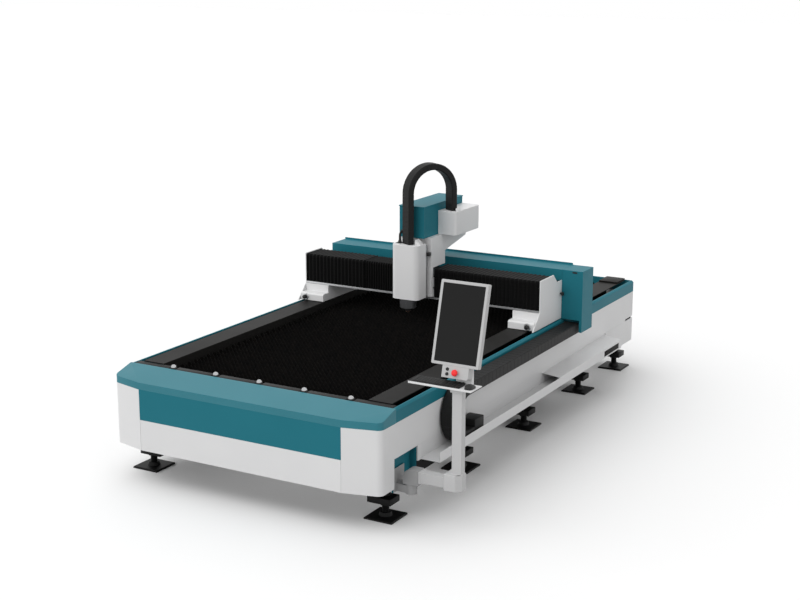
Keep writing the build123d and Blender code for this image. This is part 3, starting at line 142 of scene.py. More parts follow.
def moulded_plastic(name, code, shade, gloss, grain, shine=0.5):
    """Injection-moulded plastic: matt, with a fine spark-eroded grain that scatters the highlight. The grain
    is given in millimetres, coarser than the real one so that it shows."""
    finish, tree = blank_finish(name)
    place = add_node(tree, "ShaderNodeTexCoord").outputs["Object"]
    speck = add_node(tree, "ShaderNodeTexNoise", inputs={"Scale": 1 / (grain * MM), "Detail": 4.0},
                     links={"Vector": place})
    worked_surface(tree, speck.outputs["Fac"], speck.outputs["Fac"], (code, shade),
                   roughness=(gloss - 0.06, gloss + 0.08), relief=(0.12, 0.3 * MM),
                   body={"IOR": 1.49, "Specular IOR Level": shine})
    return finish


def machined_metal(name, code, shade, gloss, stretch):
    """Ground or turned metal: bright, with tool marks drawn out along one direction. Real marks are finer;
    they are drawn at 6 mm across so that they show."""
    finish, tree = blank_finish(name)
    mark_width = 6 * MM
    place = add_node(tree, "ShaderNodeTexCoord").outputs["Object"]
    drawn = add_node(tree, "ShaderNodeMapping", inputs={"Scale": stretch}, links={"Vector": place})
    marks = add_node(tree, "ShaderNodeTexNoise", inputs={"Scale": 1 / mark_width, "Detail": 5.0},
                     links={"Vector": drawn.outputs["Vector"]})
    worked_surface(tree, marks.outputs["Fac"], marks.outputs["Fac"], (code, shade),
                   roughness=(gloss - 0.08, gloss + 0.1), relief=(0.1, 0.2 * MM), body={"Metallic": 1.0})
    return finish


def sooty_steel(name):
    """Hot-rolled slat steel blackened by cutting smoke: almost black mill scale with brown heat stains."""
    finish, tree = blank_finish(name)
    stain_width = 35 * MM
    place = add_node(tree, "ShaderNodeTexCoord").outputs["Object"]
    stains = add_node(tree, "ShaderNodeTexNoise", inputs={"Scale": 1 / stain_width, "Detail": 6.0},
                      links={"Vector": place})
    ramp = add_node(tree, "ShaderNodeValToRGB", links={"Fac": stains.outputs["Fac"]})
    for stop, position, code in zip(ramp.color_ramp.elements, (0.35, 0.75), ("#070707", "#14110f")):
        stop.position = position
        stop.color = colour(code)
    bump = add_node(tree, "ShaderNodeBump", inputs={"Strength": 0.3, "Distance": 0.5 * MM},
                    links={"Height": stains.outputs["Fac"]})
    shader = add_node(tree, "ShaderNodeBsdfPrincipled", inputs={"Roughness": 0.72, "Specular IOR Level": 0.1},
                      links={"Base Color": ramp.outputs["Color"], "Normal": bump.outputs["Normal"]})
    close_finish(tree, shader)
    return finish


def coated_cloth(name):
    """Polyurethane-coated polyester cloth of the bellows: black, with a soft sheen on the folds. The real
    weave of about 1.5 mm is far too fine to show, so it is drawn at about 25 mm."""
    finish, tree = blank_finish(name)
    # The wave texture draws 20 radians in a unit of scale, so that it repeats every 2 pi of this length
    ripple = 4 * MM
    place = add_node(tree, "ShaderNodeTexCoord").outputs["Object"]
    warp, weft = (add_node(tree, "ShaderNodeTexWave", {"bands_direction": along},
                           {"Scale": 1 / (20 * ripple), "Distortion": 0.4}, {"Vector": place})
                  for along in "ZX")
    weave = add_node(tree, "ShaderNodeMath", {"operation": "MULTIPLY"},
                     links={0: warp.outputs["Fac"], 1: weft.outputs["Fac"]})
    tint = add_node(tree, "ShaderNodeMix", {"data_type": "RGBA"},
                    {"A": colour("#060606"), "B": colour("#0e0e0e")}, {"Factor": weave.outputs[0]})
    bump = add_node(tree, "ShaderNodeBump", inputs={"Strength": 0.15, "Distance": 0.4 * MM},
                    links={"Height": weave.outputs[0]})
    shader = add_node(tree, "ShaderNodeBsdfPrincipled",
                      inputs={"Roughness": 0.7, "Sheen Weight": 0.03, "Sheen Roughness": 0.4,
                              "Specular IOR Level": 0.1},
                      links={"Base Color": tint.outputs["Result"], "Normal": bump.outputs["Normal"]})
    close_finish(tree, shader)
    return finish


def display_panel(name):
    """Anti-glare display that is switched off: dark neutral grey with a faint etched grain in its
    reflection. The etching is drawn at 2 mm so that it shows."""
    finish, tree = blank_finish(name)
    etch_width = 2 * MM
    place = add_node(tree, "ShaderNodeTexCoord").outputs["Object"]
    etch = add_node(tree, "ShaderNodeTexNoise", inputs={"Scale": 1 / etch_width, "Detail": 2.0},
                    links={"Vector": place})
    rough = add_node(tree, "ShaderNodeMapRange", inputs={"To Min": 0.3, "To Max": 0.4},
                     links={"Value": etch.outputs["Fac"]})
    shader = add_node(tree, "ShaderNodeBsdfPrincipled",
                      inputs={"Base Color": colour("#121212"), "IOR": 1.5, "Specular IOR Level": 0.2},
                      links={"Roughness": rough.outputs["Result"]})
    close_finish(tree, shader)
    return finish


# Paint: clean white and teal sheet with soft highlights. The hood has the trim's teal, glossier, with its
# base a touch lighter: painted light for the brighter light on its slope
white_enamel = powder_coat("white_powder_coat", "#e6e6e6", "#dededf", 0.36, shine=0.2)
teal_enamel = powder_coat("teal_powder_coat", "#267684", "#216f7d", 0.42, shine=0.1)
hood_enamel_painted_lighter = powder_coat("glossy_teal_powder_coat", "#287a88", "#237380", 0.42, shine=0.4)
# Greys: the console's tubes look a shade darker than the body, and its joints darker again
console_enamel = powder_coat("light_grey_powder_coat", "#c6c6c6", "#bebebf", 0.4)
grey_enamel = powder_coat("mid_grey_powder_coat", "#a3a3a3", "#989899", 0.42)
# Near blacks: satin covers and feet that show a little light on their tops, and a frame lost in shade
dark_enamel = powder_coat("dark_grey_powder_coat", "#201f1e", "#1a1918", 0.5, shine=0.1)
frame_enamel = powder_coat("black_frame_coat", "#0d0d0d", "#090909", 0.6, shine=0.1)
foot_enamel = powder_coat("satin_black_coat", "#0a0a0a", "#060606", 0.5, shine=0.2)
bar_steel = powder_coat("dark_grey_primer", "#2b2c2c", "#252626", 0.5, shine=0.1)
# Bare metal: sooty slats, dull ground rails, bright balls, matt extrusions and a brownish copper tip
slat_steel = sooty_steel("sooty_rolled_steel")
ground_steel = machined_metal("ground_steel", "#b9babb", "#9c9d9f", 0.3, (1, 0.05, 1))
bearing_steel = machined_metal("polished_bearing_steel", "#c4c5c6", "#b4b5b7", 0.12, (1, 1, 1))
plain_aluminium = machined_metal("extruded_aluminium", "#d7d8d9", "#c3c4c6", 0.38, (0.05, 1, 1))
head_aluminium = machined_metal("grey_anodised_aluminium", "#77787a", "#636466", 0.4, (1, 1, 0.1))
nozzle_copper = machined_metal("turned_copper", "#8d6f60", "#7a6155", 0.35, (1, 1, 0.1))
# Plastic, rubber and cloth: black and light grey mouldings, one signal red, and dull black coverings
chain_nylon = moulded_plastic("glass_filled_nylon", "#191919", "#222222", 0.5, 3.0, shine=0.15)
black_abs = moulded_plastic("black_abs", "#151515", "#1d1d1d", 0.45, 1.5)
key_abs = moulded_plastic("keycap_abs", "#131313", "#191919", 0.55, 1.5)
frame_abs = moulded_plastic("light_grey_abs", "#c2c2c2", "#b8b8b8", 0.38, 2.0, shine=0.3)
red_abs = moulded_plastic("signal_red_abs", "#ff2326", "#f41d20", 0.3, 4.0)
cable_rubber = moulded_plastic("cable_rubber", "#121212", "#1a1a1a", 0.6, 2.0)
bellows_cloth = coated_cloth("coated_bellows_cloth")
dark_display = display_panel("matt_display")


# Shaping

# Points nearer than this are one. Bends below the first angle are flattened, above the second rolled over.
WELD = 0.01 * MM
FLAT_ANGLE = math.radians(0.5)
FOLD_ANGLE = math.radians(40)


def finish_mesh(name, bm, finish, smooth=35):
    """A scene object from a bmesh, flat or smooth by the angle between faces."""
    bmesh.ops.recalc_face_normals(bm, faces=bm.faces[:])
    mesh = bpy.data.meshes.new(name)
    bm.to_mesh(mesh)
    bm.free()
    mesh.shade_smooth()
    mesh.set_sharp_from_angle(angle=math.radians(smooth))
    mesh.materials.append(finish)
    made = bpy.data.objects.new(name, mesh)
    scene.collection.objects.link(made)
    return made


def soft_edges(node, finish, width, segments=2, inside=True):
    """The CAD piece with its sharp edges rolled over by width, so that they catch the light as folded sheet
    does. Without inside, the inner corners stay sharp, so that a bore keeps its full depth."""
    bm = bmesh.new()
    bm.from_mesh(cad[node].data)
    bmesh.ops.remove_doubles(bm, verts=bm.verts[:], dist=WELD)
    bmesh.ops.dissolve_limit(bm, angle_limit=FLAT_ANGLE, verts=bm.verts[:], edges=bm.edges[:])
    bm.normal_update()
    hard = [e for e in bm.edges if len(e.link_faces) == 2 and e.calc_face_angle(0) > FOLD_ANGLE
            and (inside or e.is_convex)]
    bmesh.ops.bevel(bm, geom=hard, offset=width, offset_type="OFFSET", segments=segments, profile=0.5,
                    affect="EDGES", clamp_overlap=True)
    made = finish_mesh(node + "_piece", bm, finish, smooth=50)
    weigh = made.modifiers.new("flat_faces_stay_flat", "WEIGHTED_NORMAL")
    weigh.keep_sharp = True
    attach(made, cad[node]["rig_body"])
    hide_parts(node)
    return made


def add_block(bm, low, high, bevel):
    """A box between two corners, with its edges rolled over."""
    low, high = Vector(low), Vector(high)
    made = bmesh.ops.create_cube(bm, size=1.0)["verts"]
    bmesh.ops.scale(bm, verts=made, vec=high - low)
    bmesh.ops.translate(bm, verts=made, vec=(low + high) / 2)
    edges = list({e for v in made for e in v.link_edges})
    bmesh.ops.bevel(bm, geom=edges, offset=bevel, segments=2, profile=0.5, affect="EDGES", clamp_overlap=True)


def add_lathe(bm, outline, turn, steps=28, ring=False):
    """A turned piece: an outline of (radius, height) points spun about the local Z axis of a matrix. A ring's
    outline closes on itself and leaves the middle open."""
    rings = []
    for radius, height in outline:
        if radius < WELD:
            rings.append([bm.verts.new(turn @ Vector((0, 0, height)))])
            continue
        angles = [2 * math.pi * k / steps for k in range(steps)]
        rings.append([bm.verts.new(turn @ Vector((radius * math.cos(a), radius * math.sin(a), height)))
                      for a in angles])
    pairs = list(zip(rings, rings[1:]))
    if ring:
        pairs.append((rings[-1], rings[0]))
    for below, above in pairs:
        for k in range(steps):
            corners = [below[k % len(below)], below[(k + 1) % len(below)],
                       above[(k + 1) % len(above)], above[k % len(above)]]
            bm.faces.new(list(dict.fromkeys(corners)))
    if ring:
        return
    for end in (rings[0], rings[-1]):
        if len(end) > 2:
            bm.faces.new(end)


def add_skin(bm, rings):
    """Faces from each ring of points to the next, with both ends closed."""
    count = len(rings[0])
    for first, second in zip(rings, rings[1:]):
        for k in range(count):
            j = (k + 1) % count
            bm.faces.new((first[k], first[j], second[j], second[k]))
    bm.faces.new(rings[0])
    bm.faces.new(rings[-1])


def add_hull(bm, points):
    """The smallest closed form round a few points, for wedges and brackets."""
    corners = [bm.verts.new(point) for point in points]
    bmesh.ops.convex_hull(bm, input=corners)


def in_mm(outline):
    """An outline that is written in millimetres, in metres."""
    return [(a * MM, b * MM) for a, b in outline]


def spread(low, high, half, count):
    """Middles of equal things, each half wide to either side, spread evenly from low to high."""
    return [low + half + (high - low - 2 * half) * k / (count - 1) for k in range(count)]


def facing(point, outward):
    """A matrix whose origin is point and whose Z axis is outward."""
    return Matrix.Translation(point) @ Vector(outward).to_track_quat("Z", "Y").to_matrix().to_4x4()


def add_screw(bm, point, outward, radius, rise):
    """A cap screw head with a rounded rim and a hexagon socket."""
    turn = facing(point, outward)
    socket, floor = radius * 0.5, rise * 0.35
    add_lathe(bm, [(radius, 0), (radius, rise * 0.75), (radius * 0.88, rise), (socket, rise)], turn, steps=12)
    add_lathe(bm, [(socket, rise * 1.001), (socket * 0.9, floor), (0, floor)], turn, steps=6)


def ride_on(made, body, *nodes):
    """A finished piece moves with a body and stands for the nodes named."""
    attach(made, body)
    if nodes:
        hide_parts(*nodes)


def centre(node):
    low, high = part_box(node)
    return (low + high) / 2


bed_x = centre("nozzle").x


# Sheet-metal and housing pieces keep their CAD form: width of the rolled edges in millimetres

rolled_edges = (
    (white_enamel, {"front_apron": 3, "left_side_panel": 2, "right_side_panel": 2, "right_lower_panels": 2,
                    "rear_panel": 2, "chain_tray": 1.2, "end_plates": 1.5, "gantry_feet": 3,
                    "carriage_column": 3, "carriage_arm": 4, "junction_box": 4, "head_cover": 5,
                    "console_desk": 1.5, "carriage_plate": 1.5}),
    (teal_enamel, {"front_panel": 1.5, "edge_strips": 2.5, "inner_panel": 1, "rear_cover": 1.5,
                   "leg_cover": 1.5, "motor_cover": 1.5}),
    (dark_enamel, {"rail_covers": 1.5, "gantry_beam": 2}),
    (hood_enamel_painted_lighter, {"front_hood": 3}),
    (frame_enamel, {"bed_frame": 3}),
    (foot_enamel, {"foot_plates": 2, "y_motors": 2, "z_motor": 2}),
    (console_enamel, {"console_arm": 4, "console_post": 4}),
    (frame_abs, {"monitor": 3, "control_box": 3}),
    (key_abs, {"keyboard": 0.8}),
    (plain_aluminium, {"bottom_strip": 1}),
    (ground_steel, {"y_rails": 0.8, "y_racks": 0.8, "x_rails": 0.8, "y_saddles": 0.8, "head_plate": 0.8}),
    (head_aluminium, {"cutting_head": 2}),
)
for finish, widths in rolled_edges:
    for node, width in widths.items():
        soft_edges(node, finish, width * MM)
soft_edges("console_elbow", grey_enamel, 4 * MM, segments=3, inside=False)


def console_hinge():
    """The bracket that carries the console arm. Its flange is painted like the liner behind it."""
    bracket = soft_edges("console_bracket", grey_enamel, 3 * MM)
    bracket.data.materials.append(teal_enamel)
    flange_thick = 13 * MM
    flange_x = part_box("inner_panel")[1].x + flange_thick
    for face in bracket.data.polygons:
        face.material_index = 1 if face.center.x < flange_x else 0


console_hinge()

# Pieces whose CAD form is right as it is
for node, finish in (("z_screw", ground_steel), ("pinion_left", ground_steel), ("pinion_right", ground_steel),
                     ("monitor_glass", dark_display)):
    cad[node].data.materials.clear()
    cad[node].data.materials.append(finish)


# Bed: slats with a row of teeth along the top

def toothed_slats():
    low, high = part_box("support_slats")
    count = 54
    thick = 4 * MM
    tooth_pitch = 34 * MM
    tooth_rise = 20 * MM
    step = (high.y - low.y - thick) / (count - 1)
    teeth = round((high.x - low.x) / tooth_pitch)
    bm = bmesh.new()
    for number in range(count):
        front = low.y + number * step
        back = front + thick
        rings = []
        for k in range(2 * teeth + 1):
            x = low.x + (high.x - low.x) * k / (2 * teeth)
            top = high.z if k % 2 else high.z - tooth_rise
            corners = ((front, low.z), (front, top), (back, top), (back, low.z))
            rings.append([bm.verts.new((x, y, z)) for y, z in corners])
        add_skin(bm, rings)
    ride_on(finish_mesh("toothed_slats", bm, slat_steel, smooth=20), "base", "support_slats")


toothed_slats()


# Bellows: folded cloth that stretches between the gantry ends and the carriage

FOLD_DEPTH = 11 * MM
WIDE_FOLD = 34 * MM
FINE_FOLD = 22 * MM
# How much of a fold's depth shows on top and at the back
TOP_SHARE = 0.4
BACK_SHARE = 0.25


def fold_stations(outer_x, inner_x, pitch, drop):
    """Places of the outer and inner folds between two x values, each with how far it is sunk."""
    folds = round(abs(inner_x - outer_x) / pitch)
    return [(outer_x + (inner_x - outer_x) * k / (2 * folds), drop + (FOLD_DEPTH if k % 2 else 0.0))
            for k in range(2 * folds + 1)]


def bellows(name, node, stations):
    """A hood of folded cloth over the front, the top and the back of the beam, open below."""
    low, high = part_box(node)
    beam_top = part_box("gantry_beam")[1].z
    wall = 25 * MM
    corner = 12 * MM
    inner_front, inner_back, inner_top = low.y + wall, high.y - wall, high.z - wall
    bm = bmesh.new()
    rings = []
    for x, sink in stations:
        front, back, top = low.y + sink, high.y - sink * BACK_SHARE, high.z - sink * TOP_SHARE
        outer = [(front, low.z), (front, top - corner), (front + corner, top), (back - corner, top),
                 (back, top - corner), (back, beam_top)]
        inner = [(inner_back, beam_top), (inner_back, inner_top), (inner_front, inner_top),
                 (inner_front, low.z)]
        rings.append([bm.verts.new((x, y, z)) for y, z in outer + inner])
    add_skin(bm, rings)
    made = finish_mesh(name, bm, bellows_cloth, smooth=20)
    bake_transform(made)
    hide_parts(node)


def left_bellows():
    """The left cover has a finer and lower inner section, 500 mm from the bed's centre line."""
    low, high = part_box("bellows_left")
    seam_x = bed_x - 500 * MM
    seam_gap = 1 * MM
    fine_drop = 9 * MM
    bellows("left_bellows", "bellows_left",
            fold_stations(low.x, seam_x, WIDE_FOLD, 0.0)
            + fold_stations(seam_x + seam_gap, high.x, FINE_FOLD, fine_drop))


def right_bellows():
    low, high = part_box("bellows_right")
    bellows("right_bellows", "bellows_right", fold_stations(high.x, low.x, WIDE_FOLD, 0.0))


left_bellows()
right_bellows()


# Link chains: flush nylon links with a fine groove at every joint

def chain_band(name, node, path, length, pitch, across, width, depth):
    """A band of links along a path, which gives a point and the outward direction for a length along it."""
    groove = 1.2 * MM
    groove_floor = 0.3 * MM
    groove_edge = 1.6 * MM
    cut = 7 * MM
    count = round(length / pitch)
    step = length / count
    stations = []
    for k in range(count):
        start, end = k * step, k * step + step
        stations += [(start + groove_floor, groove), (start + groove_edge, 0.0)]
        stations += [(start + step * share, 0.0) for share in (0.25, 0.5, 0.75)]
        stations += [(end - groove_edge, 0.0), (end - groove_floor, groove)]
    bm = bmesh.new()
    rings = []
    for along, sink in stations:
        point, out = path(along)
        w, h = width / 2 - sink, depth / 2 - sink
        corners = ((w, h - cut), (w - cut, h), (cut - w, h), (-w, h - cut),
                   (-w, cut - h), (cut - w, -h), (w - cut, -h), (w, cut - h))
        rings.append([bm.verts.new(point + across * a + out * b) for a, b in corners])
    add_skin(bm, rings)
    made = finish_mesh(name, bm, chain_nylon, smooth=30)
    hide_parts(node)
    return made


def long_chain():
    """The chain in the tray: an upper run that the gantry leads, one bend and a short fixed end."""
    low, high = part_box("y_drag_chain")
    depth = 80 * MM
    fixed = 80 * MM
    link = 58 * MM
    radius = (high.z - low.z - depth) / 2
    x, middle_z = (low.x + high.x) / 2, (low.z + high.z) / 2
    bend_y = low.y + radius + depth / 2
    upper, arc = high.y - bend_y, math.pi * radius

    def path(along):
        if along < upper:
            return Vector((x, high.y - along, middle_z + radius)), Vector((0, 0, 1))
        turn = min((along - upper) / radius, math.pi)
        out = Vector((0, -math.sin(turn), math.cos(turn)))
        return Vector((x, bend_y + max(0.0, along - upper - arc), middle_z)) + out * radius, out

    made = chain_band("long_drag_chain", "y_drag_chain", path, upper + arc + fixed, link, Vector((1, 0, 0)),
                      high.x - low.x, depth)
    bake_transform(made)


def arched_chain():
    """The chain over the head: up from its cover, over in a half circle and down into the junction box."""
    head_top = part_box("head_cover")[1].z
    box_low, box_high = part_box("junction_box")
    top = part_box("z_drag_chain")[1].z
    depth = 50 * MM
    width = 100 * MM
    link = 36 * MM
    box_inset = 67 * MM
    first = Vector((bed_x, centre("nozzle").y, 0))
    last = Vector(((box_low.x + box_high.x) / 2, box_low.y + box_inset, 0))
    flat = (last - first).normalized()
    reach = (last - first).length / 2
    middle, spring = (first + last) / 2, top - reach - depth / 2
    head_leg, arc = spring - head_top, math.pi * reach

    def path(along):
        if along < head_leg:
            return first + Vector((0, 0, head_top + along)), -flat
        turn = min((along - head_leg) / reach, math.pi)
        out = Vector((0, 0, math.sin(turn))) - flat * math.cos(turn)
        drop = max(0.0, along - head_leg - arc)
        return middle + out * reach + Vector((0, 0, spring - drop)), out

    made = chain_band("arched_drag_chain", "z_drag_chain", path, head_leg + arc + spring - box_high.z, link,
                      flat.cross(Vector((0, 0, 1))), width, depth)
    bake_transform(made)


long_chain()
arched_chain()


# Feet: threaded stems with lock nuts, a square block and a pad under the frame

def threaded_stems():
    plate_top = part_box("foot_plates")[1].z
    stem_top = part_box("foot_stems")[1].z
    radius = 24 * MM
    pitch = 7 * MM
    bore = radius * 1.02
    nut = 38 * MM
    nut_face = 37 * MM
    chamfer = 3 * MM
    lock_nuts = ((86 * MM, 20 * MM), (150 * MM, 34 * MM))
    pad_low = stem_top - 24 * MM
    # Reach outward and inward from the stem, half length, bottom, top and edge of the pad and of the block
    slabs = ((48 * MM, 100 * MM, 65 * MM, pad_low, stem_top, 2 * MM),
             (70 * MM, 105 * MM, 62 * MM, 102 * MM, 146 * MM, 4 * MM))
    thread = [(radius * 0.9, plate_top)]
    for k in range(int((pad_low - plate_top) / pitch)):
        thread += [(radius, plate_top + (k + 0.35) * pitch), (radius, plate_top + (k + 0.55) * pitch),
                   (radius * 0.88, plate_top + (k + 0.95) * pitch)]
    thread.append((radius * 0.9, pad_low))
    stems, blocks = bmesh.new(), bmesh.new()
    for mount in frame["record"]["mounts"]:
        x, y, floor_z = mount["pos_m"]
        turn = Matrix.Translation((x, y, floor_z))
        add_lathe(stems, thread, turn, steps=20)
        for low, rise in lock_nuts:
            top = low + rise
            add_lathe(blocks, [(bore, low), (nut_face, low), (nut, low + chamfer), (nut, top - chamfer),
                               (nut_face, top), (bore, top)], turn, steps=6, ring=True)
        inward = 1 if x < bed_x else -1
        for outer, inner, half, low, high, edge in slabs:
            left, right = sorted((x - inward * outer, x + inward * inner))
            add_block(blocks, (left, y - half, low), (right, y + half, high), bevel=edge)
    ride_on(finish_mesh("threaded_stems", stems, foot_enamel, smooth=25), "base", "foot_stems")
    ride_on(finish_mesh("foot_blocks", blocks, foot_enamel, smooth=25), "base", "foot_stems")


threaded_stems()


# Ball transfer units: polished balls in flanged cups

BALL_COUNT = 5


def ball_units():
    low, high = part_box("transfer_balls")
    cup_low, cup_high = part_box("ball_cups")
    radius = (high.y - low.y) / 2
    y, z = (low.y + high.y) / 2, (low.z + high.z) / 2
    rise, outer = cup_high.z - cup_low.z, (cup_high.y - cup_low.y) / 2
    bore = radius + 0.5 * MM
    floor = 0.4 * MM
    circle = [math.radians(angle) for angle in range(-90, 91, 9)]
    ball = [(radius * math.cos(a), radius * math.sin(a)) for a in circle]
    cup = [(outer, 0), (outer, rise * 0.22), (outer * 0.93, rise * 0.3), (outer * 0.9, rise * 0.92),
           (outer * 0.86, rise), (bore, rise), (bore, floor), (0, floor)]
    balls, cups = bmesh.new(), bmesh.new()
    for x in spread(low.x, high.x, radius, BALL_COUNT):
        add_lathe(balls, ball, Matrix.Translation((x, y, z)), steps=32)
        add_lathe(cups, cup, Matrix.Translation((x, y, cup_low.z)), steps=32)
    ride_on(finish_mesh("polished_balls", balls, bearing_steel, smooth=60), "balls", "transfer_balls")
    ride_on(finish_mesh("ball_seats", cups, black_abs, smooth=40), "base", "ball_cups")


ball_units()


# Cutting head: collar rings, clamp screws and the nozzle

def nozzle_stack():
    low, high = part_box("nozzle")
    tip, seat = low.z, high.z
    axis = Matrix.Translation((bed_x, (low.y + high.y) / 2, 0))
    cover_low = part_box("head_cover")[0].z
    rise = cover_low - seat
    collar_top = cover_low - 1 * MM
    ring = 64.7 * MM
    # Shares of the collar's radius and of its rise
    shares = ((0, 0), (0.86, 0), (0.94, 0.06), (0.94, 0.22), (0.88, 0.25), (0.88, 0.33), (1, 0.37),
              (1, 0.82), (0.95, 0.86))
    collar_outline = [(ring * a, seat + rise * b) for a, b in shares]
    collar_outline += [(ring * 0.95, collar_top), (0, collar_top)]
    collar = bmesh.new()
    add_lathe(collar, collar_outline, axis, steps=40)
    screws = 8
    first_angle = 10
    screw_radius = 5 * MM
    screw_rise = 4 * MM
    screw_ring = ring - 1 * MM
    screw_middle = axis @ Vector((0, 0, seat + rise * 0.6))
    for k in range(screws):
        turn = math.radians(360 / screws * k + first_angle)
        out = Vector((math.cos(turn), math.sin(turn), 0))
        add_screw(collar, screw_middle + out * screw_ring, out, screw_radius, screw_rise)
    ride_on(finish_mesh("head_collar", collar, head_aluminium, smooth=40), "head")
    # Radius and drop below the seat, in millimetres
    holder_outline = in_mm(((0, 0), (48, 0), (46, 6), (38, 9), (36, 15), (27, 24), (26, 27)))
    holder = bmesh.new()
    add_lathe(holder, [(radius, seat - drop) for radius, drop in holder_outline], axis, steps=40)
    ride_on(finish_mesh("ceramic_holder", holder, black_abs, smooth=40), "head", "nozzle")
    root_outline = in_mm(((0, 26), (21, 26), (21, 31), (16, 33)))
    tip_outline = in_mm(((9, 0), (3, 0), (2, 6), (0, 6)))
    point = bmesh.new()
    add_lathe(point, [(radius, seat - drop) for radius, drop in root_outline]
              + [(radius, tip + up) for radius, up in tip_outline], axis, steps=32)
    ride_on(finish_mesh("copper_nozzle", point, nozzle_copper, smooth=40), "head")


nozzle_stack()


def head_lead():
    """The short cable at the left of the arched chain, with a gland at each end."""
    low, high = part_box("head_cable")
    hood_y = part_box("motor_cover")[0].y + 4 * MM
    radius = (high.x - low.x) / 2
    x, y, top = (low.x + high.x) / 2, low.y + radius, high.z - radius
    bend = 30 * MM
    bend_steps, sides = 8, 16
    across = Vector((1, 0, 0))
    route = [Vector((x, y, low.z)), Vector((x, y, (low.z + top) / 2))]
    for k in range(bend_steps + 1):
        turn = math.radians(90) * k / bend_steps
        route.append(Vector((x, y + bend - bend * math.cos(turn), top - bend + bend * math.sin(turn))))
    route.append(Vector((x, hood_y, top)))
    bm = bmesh.new()
    rings = []
    for k, point in enumerate(route):
        ahead = (route[min(k + 1, len(route) - 1)] - route[max(k - 1, 0)]).normalized()
        up = across.cross(ahead)
        rings.append([bm.verts.new(point + radius * (across * math.cos(a) + up * math.sin(a)))
                      for a in (2 * math.pi * j / sides for j in range(sides))])
    add_skin(bm, rings)
    lead = finish_mesh("head_lead", bm, cable_rubber, smooth=60)
    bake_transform(lead)
    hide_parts("head_cable")
    # Radius and height of a gland as shares of the cable's radius
    shares = ((1.03, 0), (1.9, 0), (1.9, 0.9), (1.6, 1.1), (1.5, 2), (1.15, 2.4), (1.03, 2.4))
    for name, body, point, out in (("lead_gland_low", "head", route[0], (0, 0, 1)),
                                   ("lead_gland_high", "carriage", route[-1], (0, -1, 0))):
        gland = bmesh.new()
        add_lathe(gland, [(radius * a, radius * b) for a, b in shares], facing(point, out), steps=sides,
                  ring=True)
        ride_on(finish_mesh(name, gland, black_abs, smooth=30), body)


head_lead()


# Console pieces in the leaning frame of the screen

def screen_frame():
    """A matrix at the bottom edge of the screen's face: X to the right, Y up the face and Z out of it."""
    low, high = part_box("monitor")
    lean = math.radians(14.8)
    depth = 40 * MM
    up = Vector((0, math.sin(lean), math.cos(lean)))
    out = Vector((0, -math.cos(lean), math.sin(lean)))
    turn = Matrix((Vector((1, 0, 0)), up, out)).transposed().to_4x4()
    turn.translation = ((low.x + high.x) / 2, low.y, low.z + depth * math.sin(lean))
    return turn


def push_buttons():
    """Outlines are radius and height over the box's face, in millimetres."""
    screen = screen_frame()
    stop_right = 13 * MM
    stop_drop = 40 * MM
    switch_left = 45 * MM
    switches = (("upper_switch", "switch_upper", 23 * MM), ("lower_switch", "switch_lower", 53 * MM))
    stop_place = screen @ Matrix.Translation((stop_right, -stop_drop, 0))
    mushroom = ((0, -24), (11, -24), (11, 8), (18, 8), (20.5, 9.5), (21, 12), (20.5, 16), (18, 20),
                (13, 22.6), (7, 23.7), (0, 24))
    dome = bmesh.new()
    add_lathe(dome, in_mm(mushroom), stop_place, steps=40)
    ride_on(finish_mesh("mushroom_button", dome, red_abs, smooth=50), "stop", "stop_button")
    rim = bmesh.new()
    add_lathe(rim, in_mm(((11.5, 0.2), (19, 0.2), (19, 1.2), (18, 1.9), (11.5, 1.9))), stop_place, steps=40,
              ring=True)
    ride_on(finish_mesh("button_rim", rim, plain_aluminium, smooth=40), "console")
    for body, node, drop in switches:
        place = screen @ Matrix.Translation((-switch_left, -drop, 0))
        cap = bmesh.new()
        add_lathe(cap, in_mm(((0, -12), (9, -12), (9, 5.6), (8.2, 7), (6, 6.4), (0, 6))), place)
        ride_on(finish_mesh(node + "_cap", cap, black_abs, smooth=40), body, node)
        bezel = bmesh.new()
        add_lathe(bezel, in_mm(((9.5, 0.1), (11, 0.1), (11, 1.5), (10.5, 2), (9.5, 2.4))), place, ring=True)
        ride_on(finish_mesh(node + "_bezel", bezel, black_abs, smooth=40), "console")


push_buttons()


def moulded_mouse():
    """A low shell, rounded in plan, that rises to a hump and falls to the front and the back."""
    low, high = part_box("mouse")
    rows, sides = 14, 14
    # Powers that square off the plan, the hump, the flanks and the roof of the shell
    plan_power, hump_power, flank_power, roof_power = 3.2, 0.55, 0.75, 0.7
    middle_x = (low.x + high.x) / 2
    bm = bmesh.new()
    rings = []
    for k in range(rows + 1):
        share = k / rows
        y = low.y + (high.y - low.y) * share
        plan = math.sqrt(max(0.0, 1 - abs(2 * share - 1) ** plan_power))
        hump = math.sin(math.pi * min(1.0, 0.16 + 0.84 * share) ** 0.8) ** hump_power
        half = (high.x - low.x) / 2 * max(0.05, plan)
        height = (high.z - low.z) * max(0.02, hump * plan ** 0.5)
        ring = []
        for j in range(sides + 1):
            turn = math.pi * j / sides
            a, b = math.cos(turn), math.sin(turn)
            x = middle_x + half * math.copysign(abs(a) ** flank_power, a)
            ring.append(bm.verts.new((x, y, low.z + height * b ** roof_power)))
        rings.append(ring)
    add_skin(bm, rings)
    ride_on(finish_mesh("moulded_mouse", bm, black_abs, smooth=60), "console", "mouse")


moulded_mouse()


# Small fittings on the bed, the gantry, the head and the tray

